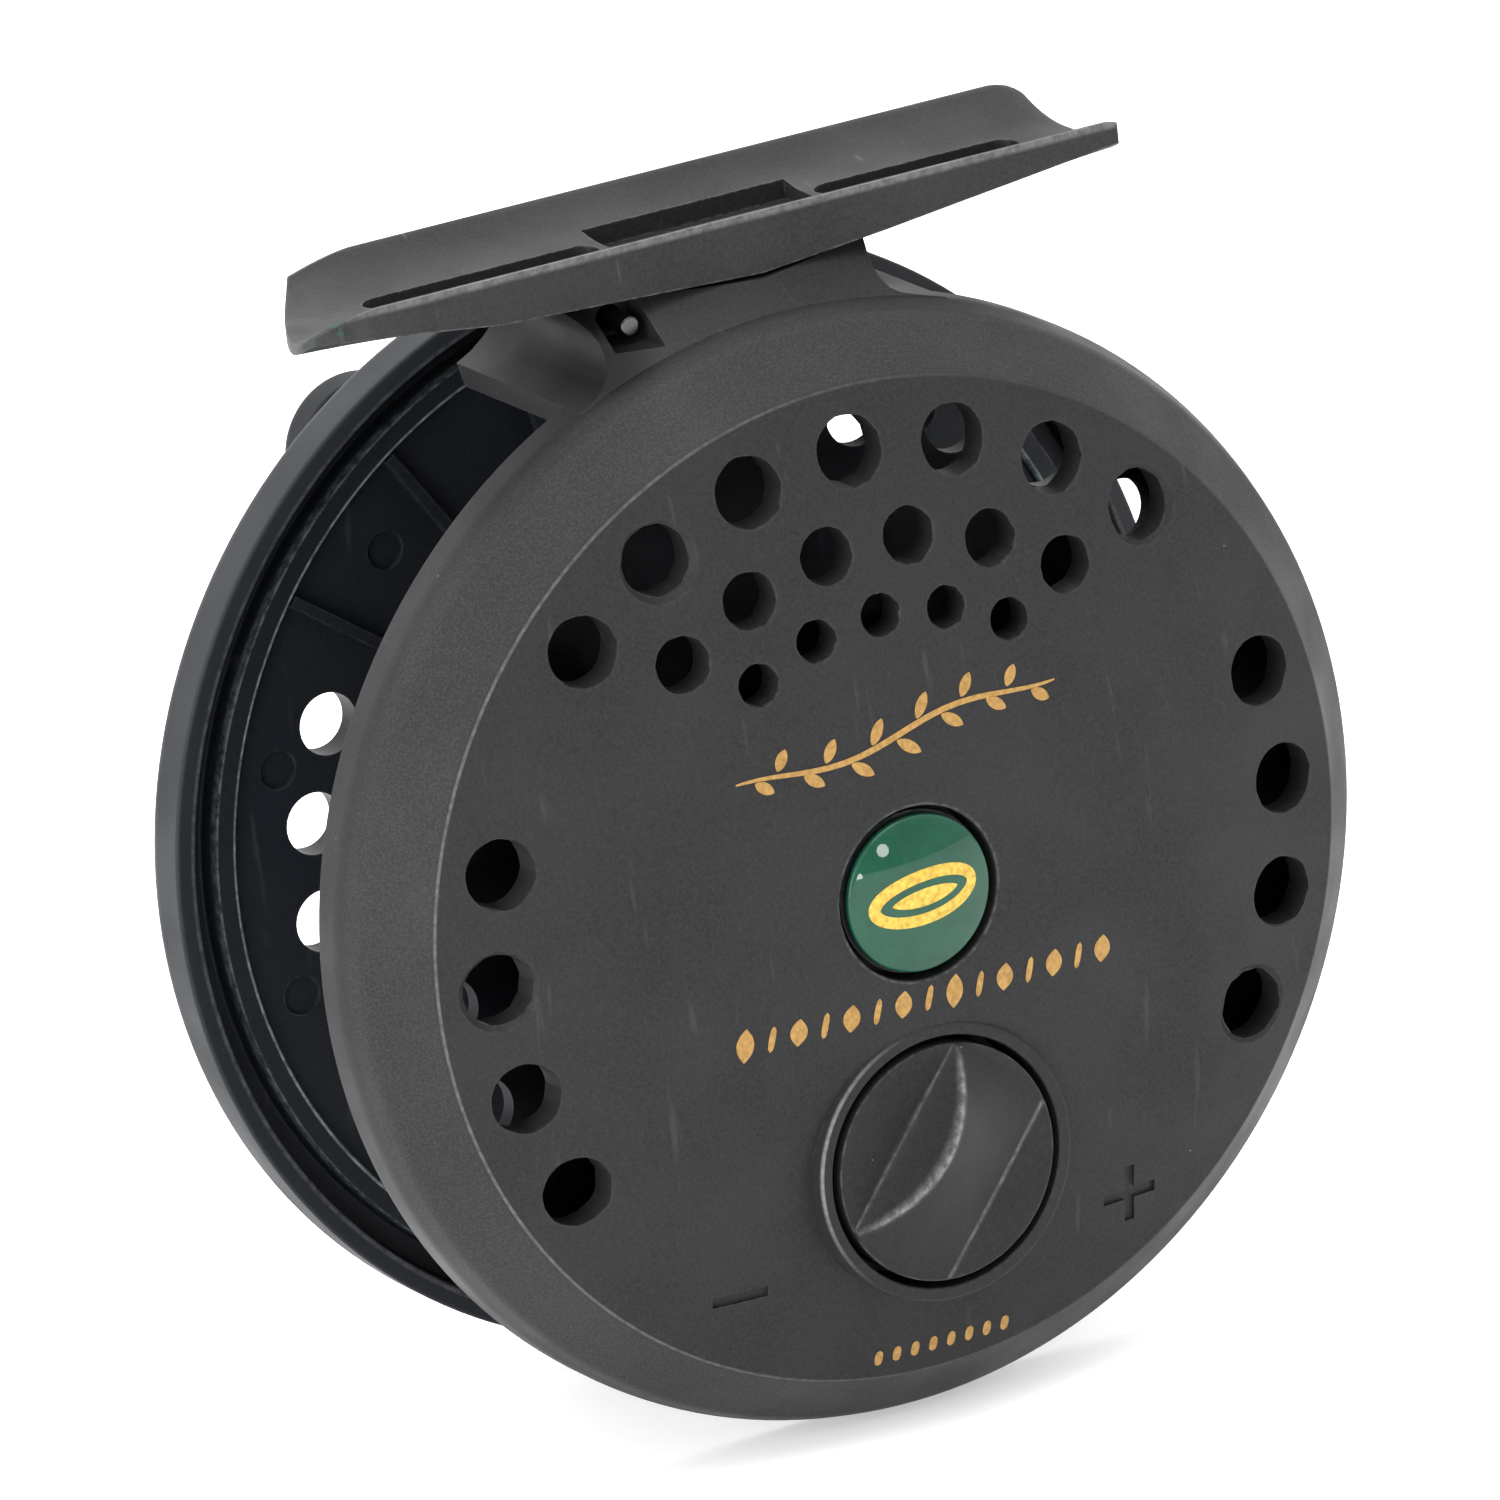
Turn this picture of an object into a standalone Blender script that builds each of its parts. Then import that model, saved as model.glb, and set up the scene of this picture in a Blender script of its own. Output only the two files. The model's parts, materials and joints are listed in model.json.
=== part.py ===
"""Fly reel with an offset drag knob, modelled as the pieces it is assembled from.

Reel space, used by every function below, is in millimetres: Y is the reel's axis, Y = 0 is the plane of
the back face's edge, +Y points to the handle side, +Z points to the foot.  The empty "reel_axis" carries
reel space to the row frame, whose origin is the middle of the foot's saddle.
"""
import math

import bmesh
import bpy
from mathutils import Matrix, Vector

MM = 0.001
GAP = 0.3                 # clearance between neighbouring pieces
SMOOTH_ANGLE = math.radians(32)
ROUND_STEPS = 60          # steps of the large turned pieces

# Frame: a domed dish with a chamfered edge
FRAME_R = 40.0
FACE_R = 35.6
DOME_HEIGHT = 4.3
CHAMFER_DEPTH = 6.15
FRAME_EDGE_Y = 8.8
SHELL = 2.4
FRAME_BORE_R = 37.8
BOSS_R = 8.0
BOSS_Y = 3.5
RECESS_R = 6.2
RECESS_Y = -1.2

# Lightening holes in the face: circle radius, hole radius, first and last angle; all 15 degrees apart
HOLE_PITCH = 15.0
HOLE_ROWS = (
    (31.3, 2.5, 45.0, 135.0),
    (31.3, 2.5, 165.0, 210.0),
    (31.3, 2.5, -30.0, 15.0),
    (24.95, 2.0, 52.5, 127.5),
    (19.9, 1.5, 60.0, 120.0),
)

# Foot and the pedestal that carries it
FOOT_Y = 16.5             # middle of the foot along the reel's axis
FOOT_X = -3.0
FOOT_WIDTH = 15.2
FOOT_LEFT, FOOT_RIGHT = -35.3, 29.3
LIP_Z = 46.5
SADDLE_Z = 44.4
LIP_FLAT = 0.35
FOOT_SKIN = 1.3
FOOT_SIDE_BOTTOM = ((-35.3, 45.0), (-25.6, 43.8), (-20.5, 43.1), (0.0, 42.1), (9.7, 42.9), (29.3, 44.9))
BRIDGE_R = 38.2           # underside of the bridge above the spool
BRIDGE_END_Y = 24.1
PIN_R = 0.7
PIN_Z = 40.7
PINS = ((-10.6, 9.0, 22.8), (4.4, 10.5, 23.8))   # x, near end and far end of each cross pin
TONGUE = (-11.8, 6.2)     # the foot's tongue along X

# Spindle and drive
SPINDLE_R = 3.0
STUB_R = 2.0
GROOVE_R = 1.8
GROOVE = (32.0, 33.4)
SPINDLE_TIP_Y = 35.0
DISC_R = 10.0
DISC = (5.3, 6.9)
HEX_R = 8.0
HEX_TOP_Y = 11.5
RATCHET_TEETH = 36
RATCHET_ROOT_R, RATCHET_TIP_R = 11.7, 12.5
RATCHET = (3.6, 5.0)
BUSH_R = 4.3
RIM_BORE_R = 4.6

# Spool
SPOOL_BACK = (7.2, 8.6)
SPOOL_BACK_R = 37.3
ARBOR_R = 16.0
ARBOR_WALL = 1.6
WEB = (31.0, 33.2)
HUB_R = 9.8
SPOOL_R = 40.0
WEB_HOLE_CIRCLE, WEB_HOLE_R = 28.4, 2.25
WEB_HOLE_PITCH = 14.4
WEB_HOLE_START = 157.4
RIB_ANGLES = (104.5, 124.0, 144.0)
BACK_HOLE_CIRCLE, BACK_HOLE_R = 31.6, 2.4
WEIGHT_ANGLE = 123.6
WEIGHT_CIRCLE, WEIGHT_R = 33.8, 5.5
HANDLE_ANGLE = WEIGHT_ANGLE + 180.0
HANDLE_CIRCLE = 27.0
HANDLE_END_Y = 50.0

# Latch under the cap
PLATE = (32.3, 33.1)
LATCH_TRAVEL = 1.4
CAP_R = 8.8
CAP = (33.8, 37.4)

# Drag knob, cam and shoe
KNOB_Z = -19.65
KNOB_R = 8.5
COLLAR_R = 9.95
COLLAR_Y = -4.1
WELL_R = 9.05
WELL_Y = 1.0
COLLAR_INNER_Y = 3.2
KNOB_FACE_Y = -4.2
GRIP_ANGLE = 141.0        # the side of the knob that the steep face of its grip looks to
GRIP_CHORD, GRIP_TOE = 4.15, 4.6
GRIP_CREST, GRIP_HEIGHT = 2.5, 4.2
SHAFT_R = 2.4
CAM_R, CAM_OFFSET = 4.2, 0.45
CAM = (5.3, 6.6)
PAD = (10.7, 11.9)
SHOE_Y = (5.3, 6.8)
SHOE_RING_R = 6.6
RAIL = (7.0, 8.6)

# Click pawl
PAWL_ROOT_ANGLE = 330.0   # the tooth space that holds the pawl's nose
PAWL_NOSE_R = 12.1
PAWL_REACH, PAWL_RISE = 8.5, 3.5   # from the nose to the pivot, along the tangent and outward
PAWL_POST_R = 1.5
SPRING_LUG = (20.6, -12.4)

PALETTE = {
    "graphite": ((0.047, 0.047, 0.05), 0.55, 0.0),
    "graphite_dark": ((0.02, 0.021, 0.025), 0.5, 0.0),
    "knob_graphite": ((0.05, 0.05, 0.053), 0.6, 0.0),
    "steel": ((0.55, 0.55, 0.56), 0.28, 1.0),
    "brass": ((0.62, 0.45, 0.2), 0.35, 1.0),
    "acetal": ((0.75, 0.74, 0.7), 0.45, 0.0),
    "cork": ((0.4, 0.25, 0.13), 0.85, 0.0),
    "badge_green": ((0.02, 0.09, 0.05), 0.15, 0.0),
    "spring_steel": ((0.42, 0.42, 0.44), 0.3, 1.0),
    "handle_black": ((0.02, 0.02, 0.022), 0.4, 0.0),
}


def clear_scene():
    for item in list(bpy.data.objects):
        bpy.data.objects.remove(item, do_unlink=True)
    for store in (bpy.data.meshes, bpy.data.curves, bpy.data.materials):
        for item in list(store):
            store.remove(item)


def new_collection(name):
    group = bpy.data.collections.new(name)
    bpy.context.scene.collection.children.link(group)
    return group


clear_scene()
REEL = new_collection("fly_reel")
CUTTERS = new_collection("cutters")


def material(name):
    """The palette's material of that name, made on first use."""
    found = bpy.data.materials.get(name)
    if found:
        return found
    colour, roughness, metallic = PALETTE[name]
    made = bpy.data.materials.new(name)
    made.use_nodes = True
    shader = made.node_tree.nodes["Principled BSDF"]
    shader.inputs["Base Color"].default_value = (*colour, 1.0)
    shader.inputs["Roughness"].default_value = roughness
    shader.inputs["Metallic"].default_value = metallic
    return made


def new_empty(name, location, parent=None):
    empty = bpy.data.objects.new(name, None)
    empty.empty_display_size = 5 * MM
    empty.parent = parent
    empty.location = Vector(location) * MM
    REEL.objects.link(empty)
    return empty


REEL_AXIS = new_empty("reel_axis", (-FOOT_X, -FOOT_Y, -SADDLE_Z))


def place(name, mesh, slot=None, at=(0.0, 0.0, 0.0), parent=None):
    """Put a mesh into the reel as a piece with a material, or, with no slot, aside as a cutter."""
    piece = bpy.data.objects.new(name, mesh)
    piece.parent = parent or REEL_AXIS
    piece.location = Vector(at) * MM
    if slot:
        mesh.materials.append(material(slot))
        REEL.objects.link(piece)
    else:
        CUTTERS.objects.link(piece)
        piece.hide_render = True
        piece.display_type = "WIRE"
    return piece


def mesh_from(bm, name):
    bmesh.ops.recalc_face_normals(bm, faces=bm.faces[:])
    mesh = bpy.data.meshes.new(name)
    bm.to_mesh(mesh)
    bm.free()
    return mesh


def polar(radius, degrees):
    """A point of the XZ plane, with the angle counted from +X towards +Z."""
    return radius * math.cos(math.radians(degrees)), radius * math.sin(math.radians(degrees))


def arc(radius, start, end, steps, centre=(0.0, 0.0)):
    """Points of the XZ plane along an arc, both ends included."""
    points = []
    for step in range(steps + 1):
        x, z = polar(radius, start + (end - start) * step / steps)
        points.append((x + centre[0], z + centre[1]))
    return points


def turned(name, profile, slot=None, steps=48, at=(0.0, 0.0, 0.0), parent=None):
    """A closed profile of (radius, y) points, turned about the Y axis with a Screw modifier."""
    doubled_area = sum(a[0] * b[1] - b[0] * a[1] for a, b in zip(profile, profile[1:] + profile[:1]))
    points = profile if doubled_area < 0 else profile[::-1]
    while points[0][0] == 0.0 and points[-1][0] != 0.0:
        points = points[1:] + points[:1]
    if points[0][0] != 0.0 and 0.0 in [radius for radius, _ in points]:
        while points[0][0] != 0.0 or points[-1][0] != 0.0:
            points = points[1:] + points[:1]
    on_axis = points[0][0] == 0.0
    edges = [(n, n + 1) for n in range(len(points) - 1)]
    if not on_axis:
        edges.append((len(points) - 1, 0))
    mesh = bpy.data.meshes.new(name)
    mesh.from_pydata([(radius * MM, y * MM, 0.0) for radius, y in points], edges, [])
    piece = place(name, mesh, slot, at, parent)
    screw = piece.modifiers.new("turn", "SCREW")
    screw.axis = "Y"
    screw.angle = math.tau
    screw.steps = steps
    screw.render_steps = steps
    screw.use_merge_vertices = True
    screw.merge_threshold = 1e-6
    screw.use_normal_flip = False
    return piece


def rod(name, radius, low, high, slot=None, centre=(0.0, 0.0), steps=32, turn=0.0, at=(0.0, 0.0, 0.0), parent=None):
    """A cylinder along Y, its facets turned by so many degrees."""
    bm = bmesh.new()
    bmesh.ops.create_cone(bm, cap_ends=True, segments=steps, radius1=radius * MM, radius2=radius * MM,
                          depth=(high - low) * MM)
    facing = Matrix.Rotation(math.radians(turn), 3, "Y") @ Matrix.Rotation(math.radians(90), 3, "X")
    bmesh.ops.rotate(bm, verts=bm.verts[:], matrix=facing)
    middle = Vector((centre[0], (low + high) / 2, centre[1])) * MM
    bmesh.ops.translate(bm, verts=bm.verts[:], vec=middle)
    return place(name, mesh_from(bm, name), slot, at, parent)


def block(name, xs, ys, zs, slot=None, turn=0.0, at=(0.0, 0.0, 0.0), parent=None):
    """A box between the given limits, turned about the Y axis by so many degrees from +X towards +Z."""
    bm = bmesh.new()
    size = [(high - low) * MM for low, high in (xs, ys, zs)]
    middle = Vector([(low + high) / 2 for low, high in (xs, ys, zs)]) * MM
    bmesh.ops.create_cube(bm, size=1.0)
    bmesh.ops.scale(bm, verts=bm.verts[:], vec=size)
    bmesh.ops.translate(bm, verts=bm.verts[:], vec=middle)
    bmesh.ops.rotate(bm, verts=bm.verts[:], matrix=Matrix.Rotation(math.radians(-turn), 3, "Y"))
    return place(name, mesh_from(bm, name), slot, at, parent)


def plate(name, outlines, low, high, slot=None, at=(0.0, 0.0, 0.0), parent=None):
    """Outlines in the XZ plane, the first one outside and the others its holes, thick along Y."""
    curve = bpy.data.curves.new(name, "CURVE")
    curve.dimensions = "2D"
    curve.fill_mode = "BOTH"
    curve.extrude = (high - low) / 2 * MM
    for outline in outlines:
        spline = curve.splines.new("POLY")
        spline.points.add(len(outline) - 1)
        spline.use_cyclic_u = True
        for point, (x, z) in zip(spline.points, outline):
            point.co = (x * MM, z * MM, 0.0, 1.0)
    return place(name, solid_of_curve(curve, name, (low + high) / 2), slot, at, parent)


def solid_of_curve(curve, name, middle_y=0.0, upright=True):
    """The curve as a closed mesh in reel space; the curve itself is removed."""
    carrier = bpy.data.objects.new(name + "_curve", curve)
    mesh = bpy.data.meshes.new_from_object(carrier)
    bpy.data.objects.remove(carrier)
    bpy.data.curves.remove(curve)
    bm = bmesh.new()
    bm.from_mesh(mesh)
    bpy.data.meshes.remove(mesh)
    bmesh.ops.remove_doubles(bm, verts=bm.verts[:], dist=1e-6)
    if upright:
        bmesh.ops.rotate(bm, verts=bm.verts[:], matrix=Matrix.Rotation(math.radians(90), 3, "X"))
    bmesh.ops.translate(bm, verts=bm.verts[:], vec=(0.0, middle_y * MM, 0.0))
    return mesh_from(bm, name)


def wire(name, points, radius, slot, at=(0.0, 0.0, 0.0), parent=None):
    """A round wire through points of reel space."""
    curve = bpy.data.curves.new(name, "CURVE")
    curve.dimensions = "3D"
    curve.bevel_depth = radius * MM
    curve.bevel_resolution = 2
    curve.use_fill_caps = True
    spline = curve.splines.new("POLY")
    spline.points.add(len(points) - 1)
    for point, place_mm in zip(spline.points, points):
        point.co = (*(Vector(place_mm) * MM), 1.0)
    return place(name, solid_of_curve(curve, name, upright=False), slot, at, parent)


def combine(piece, tool, how):
    step = piece.modifiers.new(how.lower(), "BOOLEAN")
    step.operation = how
    step.solver = "EXACT"
    step.object = tool


def cut(piece, *tools):
    for tool in tools:
        combine(piece, tool, "DIFFERENCE")


def add(piece, *tools):
    for tool in tools:
        combine(piece, tool, "UNION")


def settle(piece):
    """Turn the modifiers into the piece's mesh and shade it smooth, apart from its corners."""
    bpy.context.view_layer.update()
    graph = bpy.context.evaluated_depsgraph_get()
    bm = bmesh.new()
    bm.from_mesh(bpy.data.meshes.new_from_object(piece.evaluated_get(graph)))
    bmesh.ops.remove_doubles(bm, verts=bm.verts[:], dist=1e-6)
    bmesh.ops.dissolve_degenerate(bm, edges=bm.edges[:], dist=1e-6)
    slots = list(piece.data.materials)
    piece.modifiers.clear()
    piece.data = mesh_from(bm, piece.name)
    piece.data.materials.clear()
    for slot in slots:
        piece.data.materials.append(slot)
    piece.data.shade_smooth()
    piece.data.set_sharp_from_angle(angle=SMOOTH_ANGLE)
    return piece


def dome(radius):
    """The back face's Y at a radius."""
    return -DOME_HEIGHT * (1.0 - (radius / FACE_R) ** 2)


def frame_profile():
    outside = [(RECESS_R, RECESS_Y), (RECESS_R, dome(RECESS_R) + 0.2), (RECESS_R + 0.2, dome(RECESS_R))]
    outside += [(radius, dome(radius)) for radius in (12.0, 18.0, 24.0, 30.0, FACE_R - 0.3)]
    outside += [(FACE_R + 0.2, 0.15), (39.3, 3.95), (FRAME_R, CHAMFER_DEPTH), (FRAME_R, FRAME_EDGE_Y)]
    inside = [(FRAME_BORE_R, FRAME_EDGE_Y), (FRAME_BORE_R, 6.6), (34.8, 2.4)]
    inside += [(radius, dome(radius) + SHELL) for radius in (27.0, 18.0, BOSS_R)]
    return [(STUB_R + GAP, RECESS_Y)] + outside + inside + [(BOSS_R, BOSS_Y), (STUB_R + GAP, BOSS_Y)]


def foot_bottom(x):
    """Height of the foot's side edge at x."""
    for (x0, z0), (x1, z1) in zip(FOOT_SIDE_BOTTOM, FOOT_SIDE_BOTTOM[1:]):
        if x <= x1:
            return z0 + (z1 - z0) * (x - x0) / (x1 - x0)
    return FOOT_SIDE_BOTTOM[-1][1]


def pedestal():
    """The block between the frame and the foot, with its bridge over the spool."""
    top = [(x, foot_bottom(x) - GAP) for x in (-14.7, -7.0, 0.0, 9.1)]
    left = [(-16.6, 36.4), (-14.4, 37.75), (-13.4, 38.8), (-13.1, 40.0), (-13.5, 41.2)]
    right = [(8.5, 41.2), (8.3, 40.2), (8.6, 39.5), (9.6, 38.95), (12.6, 38.0)]
    under = [(12.1, 34.0), (-16.0, 34.0)]
    body = plate("pedestal", [left + top + right + under], CHAMFER_DEPTH - 0.6, BRIDGE_END_Y)
    slope = (FRAME_EDGE_Y + 0.1 - CHAMFER_DEPTH) / 2.0
    cone = [(0.0, CHAMFER_DEPTH), (FRAME_R, CHAMFER_DEPTH), (FRAME_R + 4.0, CHAMFER_DEPTH + 4.0 * slope)]
    face = turned("pedestal_face", cone + [(FRAME_R + 4.0, 30.0), (0.0, 30.0)], steps=ROUND_STEPS)
    combine(body, face, "INTERSECT")
    cut(body, rod("bridge_underside", BRIDGE_R, 0.0, 30.0, steps=ROUND_STEPS))
    return body


def build_frame():
    frame = turned("frame", frame_profile(), "graphite", steps=ROUND_STEPS)
    add(frame, pedestal())
    collar = [(0.0, COLLAR_INNER_Y), (COLLAR_R + 0.3, COLLAR_INNER_Y), (COLLAR_R, COLLAR_Y + 0.35),
              (COLLAR_R - 0.3, COLLAR_Y), (0.0, COLLAR_Y)]
    add(frame, turned("collar", collar, steps=48, at=(0.0, 0.0, KNOB_Z)))
    for side, x in (("left", -RAIL[1]), ("right", RAIL[0])):
        add(frame, block("rail_" + side, (x, x + RAIL[1] - RAIL[0]), (-0.6, SHOE_Y[1] - 0.2), (-26.0, -15.5)))
    pivot = from_nose(PAWL_REACH, PAWL_RISE)
    add(frame, rod("pawl_boss", 3.2, -2.0, 3.1, centre=pivot, steps=24))
    add(frame, block("spring_lug", (SPRING_LUG[0] - 1.2, SPRING_LUG[0] + 1.2), (-1.5, 3.6),
                     (SPRING_LUG[1] - 1.2, SPRING_LUG[1] + 1.2)))
    cut(frame, rod("pawl_boss_hole", PAWL_POST_R + GAP, 0.3, 4.0, centre=pivot, steps=20))
    cut(frame, rod("spring_hole", 0.25 + GAP, 1.5, 4.0, centre=SPRING_LUG, steps=12))
    cut(frame, rod("knob_well", WELL_R, COLLAR_Y - 2.0, WELL_Y, centre=(0.0, KNOB_Z), steps=48, turn=3.75))
    cut(frame, rod("shaft_hole", SHAFT_R + GAP, WELL_Y - 1.0, COLLAR_INNER_Y + 1.0, centre=(0.0, KNOB_Z), steps=28))
    cut(frame, face_holes())
    cut(frame, block("tongue_socket", (TONGUE[0] - GAP, TONGUE[1] + GAP), (12.5, 20.5), (39.2, 44.0)))
    for number, (x, low, high) in enumerate(PINS):
        cut(frame, rod("pin_hole_%d" % number, PIN_R + GAP, low - 0.8, high + 2.0, centre=(x, PIN_Z), steps=16))
    cut(frame, block("pin_notch", (-12.4, -9.4), (2.0, 10.4), (39.5, 44.0)))
    return settle(frame)


def from_nose(along, outward):
    """A point of the XZ plane measured from the pawl's nose, along the ratchet's tangent and outward."""
    out_x, out_z = polar(1.0, PAWL_ROOT_ANGLE)
    x, z = polar(PAWL_NOSE_R + outward, PAWL_ROOT_ANGLE)
    return x - out_z * along, z + out_x * along


def face_holes():
    """Every lightening hole of the face, as one cutter."""
    bm = bmesh.new()
    for circle, radius, first, last in HOLE_ROWS:
        for number in range(round((last - first) / HOLE_PITCH) + 1):
            x, z = polar(circle, first + number * HOLE_PITCH)
            turn = Matrix.Rotation(math.radians(90), 4, "X") @ Matrix.Rotation(math.radians(4), 4, "Z")
            where = Matrix.Translation(Vector((x, 0.0, z)) * MM) @ turn
            bmesh.ops.create_cone(bm, cap_ends=True, segments=16, radius1=radius * MM, radius2=radius * MM,
                                  depth=16.0 * MM, matrix=where)
    return place("face_holes", mesh_from(bm, "face_holes"))


def build_foot():
    """A grid shaped into the saddle above and the tapering underside below."""
    bm = bmesh.new()
    bmesh.ops.create_grid(bm, x_segments=22, y_segments=12, size=0.5)
    raised = bmesh.ops.extrude_face_region(bm, geom=bm.faces[:])["geom"]
    upper = {item for item in raised if isinstance(item, bmesh.types.BMVert)}
    half = FOOT_WIDTH / 2
    reach = half - LIP_FLAT
    saddle_r = (reach ** 2 + (LIP_Z - SADDLE_Z) ** 2) / (2 * (LIP_Z - SADDLE_Z))
    for vert in bm.verts:
        along, across = vert.co.x + 0.5, vert.co.y * 2.0
        left = FOOT_LEFT + 6.5 * max(0.0, (across + 1.0) / 2.0) ** 1.6
        right = FOOT_RIGHT - 1.2 * max(0.0, (across - 0.7) / 0.3) ** 2
        x = left + (right - left) * along
        side = across if abs(across) > 0.9 else across * reach / half * 1.2
        y = half * side
        ramp = max(0.0, (left + 5.0 - x) / 5.0) ** 1.5 * 1.0
        if vert in upper:
            z = SADDLE_Z + saddle_r - math.sqrt(saddle_r ** 2 - min(abs(y), reach) ** 2)
            z -= ramp * min(1.0, abs(side) * 1.2)
        else:
            edge = foot_bottom(x)
            middle = min(edge, SADDLE_Z - FOOT_SKIN)
            z = edge - (edge - middle) * (1.0 - abs(side) ** 2.2)
        vert.co = Vector((x, FOOT_Y + y, z)) * MM
    bmesh.ops.remove_doubles(bm, verts=bm.verts[:], dist=1e-6)
    foot = place("reel_foot", mesh_from(bm, "reel_foot"), "graphite")
    add(foot, block("tongue", TONGUE, (12.8, 20.2), (39.5, 43.2)))
    cut(foot, block("foot_pocket", (-8.0, 8.2), (FOOT_Y - 3.4, FOOT_Y + 3.4), (43.4, 48.0)))
    for number, (low, high) in enumerate(((-27.0, -8.6), (8.8, 25.0))):
        groove = arc(1.3, 90.0, 270.0, 8, (low + 1.3, 0.0)) + arc(1.3, -90.0, 90.0, 8, (high - 1.3, 0.0))
        cut(foot, flat_groove("foot_groove_%d" % number, groove))
    for number, (x, low, high) in enumerate(PINS):
        cut(foot, rod("tongue_hole_%d" % number, PIN_R + GAP, 11.0, 22.0, centre=(x, PIN_Z), steps=16))
    settle(foot)
    for number, (x, low, high) in enumerate(PINS):
        rod("foot_pin_%d" % (number + 1), PIN_R, low, high, "steel", centre=(x, PIN_Z), steps=16)


def flat_groove(name, outline):
    """A cutter with its outline in the XY plane, standing on the groove's floor."""
    floor, height = SADDLE_Z - 0.7, 4.0
    groove = plate(name, [outline], 0.0, height)
    groove.rotation_euler = (math.radians(-90), 0.0, 0.0)
    groove.location = Vector((0.0, FOOT_Y, floor + height)) * MM
    return groove


def build_spindle():
    """The steel spindle, its nut in the back recess and the badge that covers it."""
    stub_y = -2.5
    profile = [(0.0, stub_y), (STUB_R, stub_y), (STUB_R, BOSS_Y + GAP), (6.5, BOSS_Y + GAP), (6.5, DISC[0] - GAP),
               (SPINDLE_R, DISC[0] - GAP), (SPINDLE_R, GROOVE[0]), (GROOVE_R, GROOVE[0]), (GROOVE_R, GROOVE[1]),
               (SPINDLE_R, GROOVE[1]), (SPINDLE_R, GROOVE[1] + 0.4), (1.6, SPINDLE_TIP_Y), (0.0, SPINDLE_TIP_Y)]
    settle(turned("spindle", profile, "steel", steps=32))
    hexagon = arc(3.9, 0.0, 300.0, 5)
    bore = arc(STUB_R + GAP, 0.0, 345.0, 23)
    plate("spindle_nut", [hexagon, bore], RECESS_Y - GAP - 1.2, RECESS_Y - GAP, "steel")
    rod("badge_seat", RECESS_R - GAP - 0.1, -3.4, -3.0, "graphite_dark", steps=48)
    crown = [(radius, -4.3 - 0.95 * (1.0 - (radius / 5.4) ** 2)) for radius in (5.4, 4.5, 3.4, 2.2, 1.0)]
    badge = [(0.0, -3.7), (5.5, -3.7), (5.6, -3.8), (5.6, -4.1)] + crown + [(0.0, -5.25)]
    settle(turned("badge", badge, "badge_green", steps=48))


def build_drive():
    """The drag disc with its hexagon drive, the ratchet ring behind it and the bushing it turns on."""
    disc = turned("drag_disc", [(RIM_BORE_R, DISC[0]), (DISC_R, DISC[0]), (DISC_R, DISC[1]), (RIM_BORE_R, DISC[1])],
                  "brass", steps=64)
    bore = arc(RIM_BORE_R, 0.0, 345.0, 23)
    add(disc, plate("drive_hexagon", [arc(HEX_R, 0.0, 300.0, 5), bore], DISC[1] - 0.5, HEX_TOP_Y))
    cut(disc, rod("drive_bore", RIM_BORE_R + 0.05, 0.0, 14.0, steps=48))
    settle(disc)
    tooth = 360.0 / RATCHET_TEETH
    outline = []
    for number in range(RATCHET_TEETH):
        outline.append(polar(RATCHET_ROOT_R, number * tooth))
        outline.append(polar(RATCHET_TIP_R, (number + 0.5) * tooth))
    bore = arc(BOSS_R + GAP + 0.2, 0.0, 352.5, 47)
    plate("ratchet_ring", [outline, bore], RATCHET[0], RATCHET[1], "steel")
    tube("drive_bushing", SPINDLE_R + GAP, BUSH_R, DISC[0], HEX_TOP_Y, "acetal")


def tube(name, inner, outer, low, high, slot, at=(0.0, 0.0, 0.0), steps=32, parent=None):
    profile = [(inner, low), (outer, low), (outer, high), (inner, high)]
    return settle(turned(name, profile, slot, steps=steps, at=at, parent=parent))


def spool_profile():
    cavity_r = ARBOR_R - ARBOR_WALL
    back, front = SPOOL_BACK
    hub = [(RIM_BORE_R, back), (HUB_R, back), (HUB_R, 29.4), (cavity_r, 29.4), (cavity_r, back)]
    back_flange = [(SPOOL_BACK_R, back), (SPOOL_BACK_R, front)]
    arbor = [(ARBOR_R + 1.0, front), (ARBOR_R, front + 1.0), (ARBOR_R, WEB[0] - 1.0), (ARBOR_R + 1.0, WEB[0])]
    channel = [(34.8, WEB[0]), (35.0, 30.35), (36.5, 30.35), (36.7, 32.4), (38.3, 32.4), (38.5, 29.7)]
    rim = [(SPOOL_R, 29.7), (SPOOL_R, 33.2), (39.3, 34.2), (37.6, 34.4), (36.4, WEB[1])]
    front_hub = [(11.0, WEB[1]), (10.6, WEB[1] + 0.3), (RIM_BORE_R, WEB[1] + 0.3)]
    return hub + back_flange + arbor + channel + rim + front_hub


def spool_holes():
    """The through holes of both flanges, three groups of four in each, as one cutter."""
    bm = bmesh.new()
    turn = Matrix.Rotation(math.radians(90), 4, "X") @ Matrix.Rotation(math.radians(4), 4, "Z")
    holes = []
    for group in range(3):
        for number in range(4):
            angle = WEB_HOLE_START + 120.0 * group + WEB_HOLE_PITCH * number
            holes.append((WEB_HOLE_CIRCLE, WEB_HOLE_R, angle, WEB, 16))
            holes.append((BACK_HOLE_CIRCLE, BACK_HOLE_R, angle, SPOOL_BACK, 16))
    for circle, radius, angle, (low, high), steps in holes:
        x, z = polar(circle, angle)
        where = Matrix.Translation(Vector((x, (low + high) / 2, z)) * MM) @ turn
        bmesh.ops.create_cone(bm, cap_ends=True, segments=steps, radius1=radius * MM, radius2=radius * MM,
                              depth=(high - low + 1.6) * MM, matrix=where)
    return place("spool_holes", mesh_from(bm, "spool_holes"))


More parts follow.
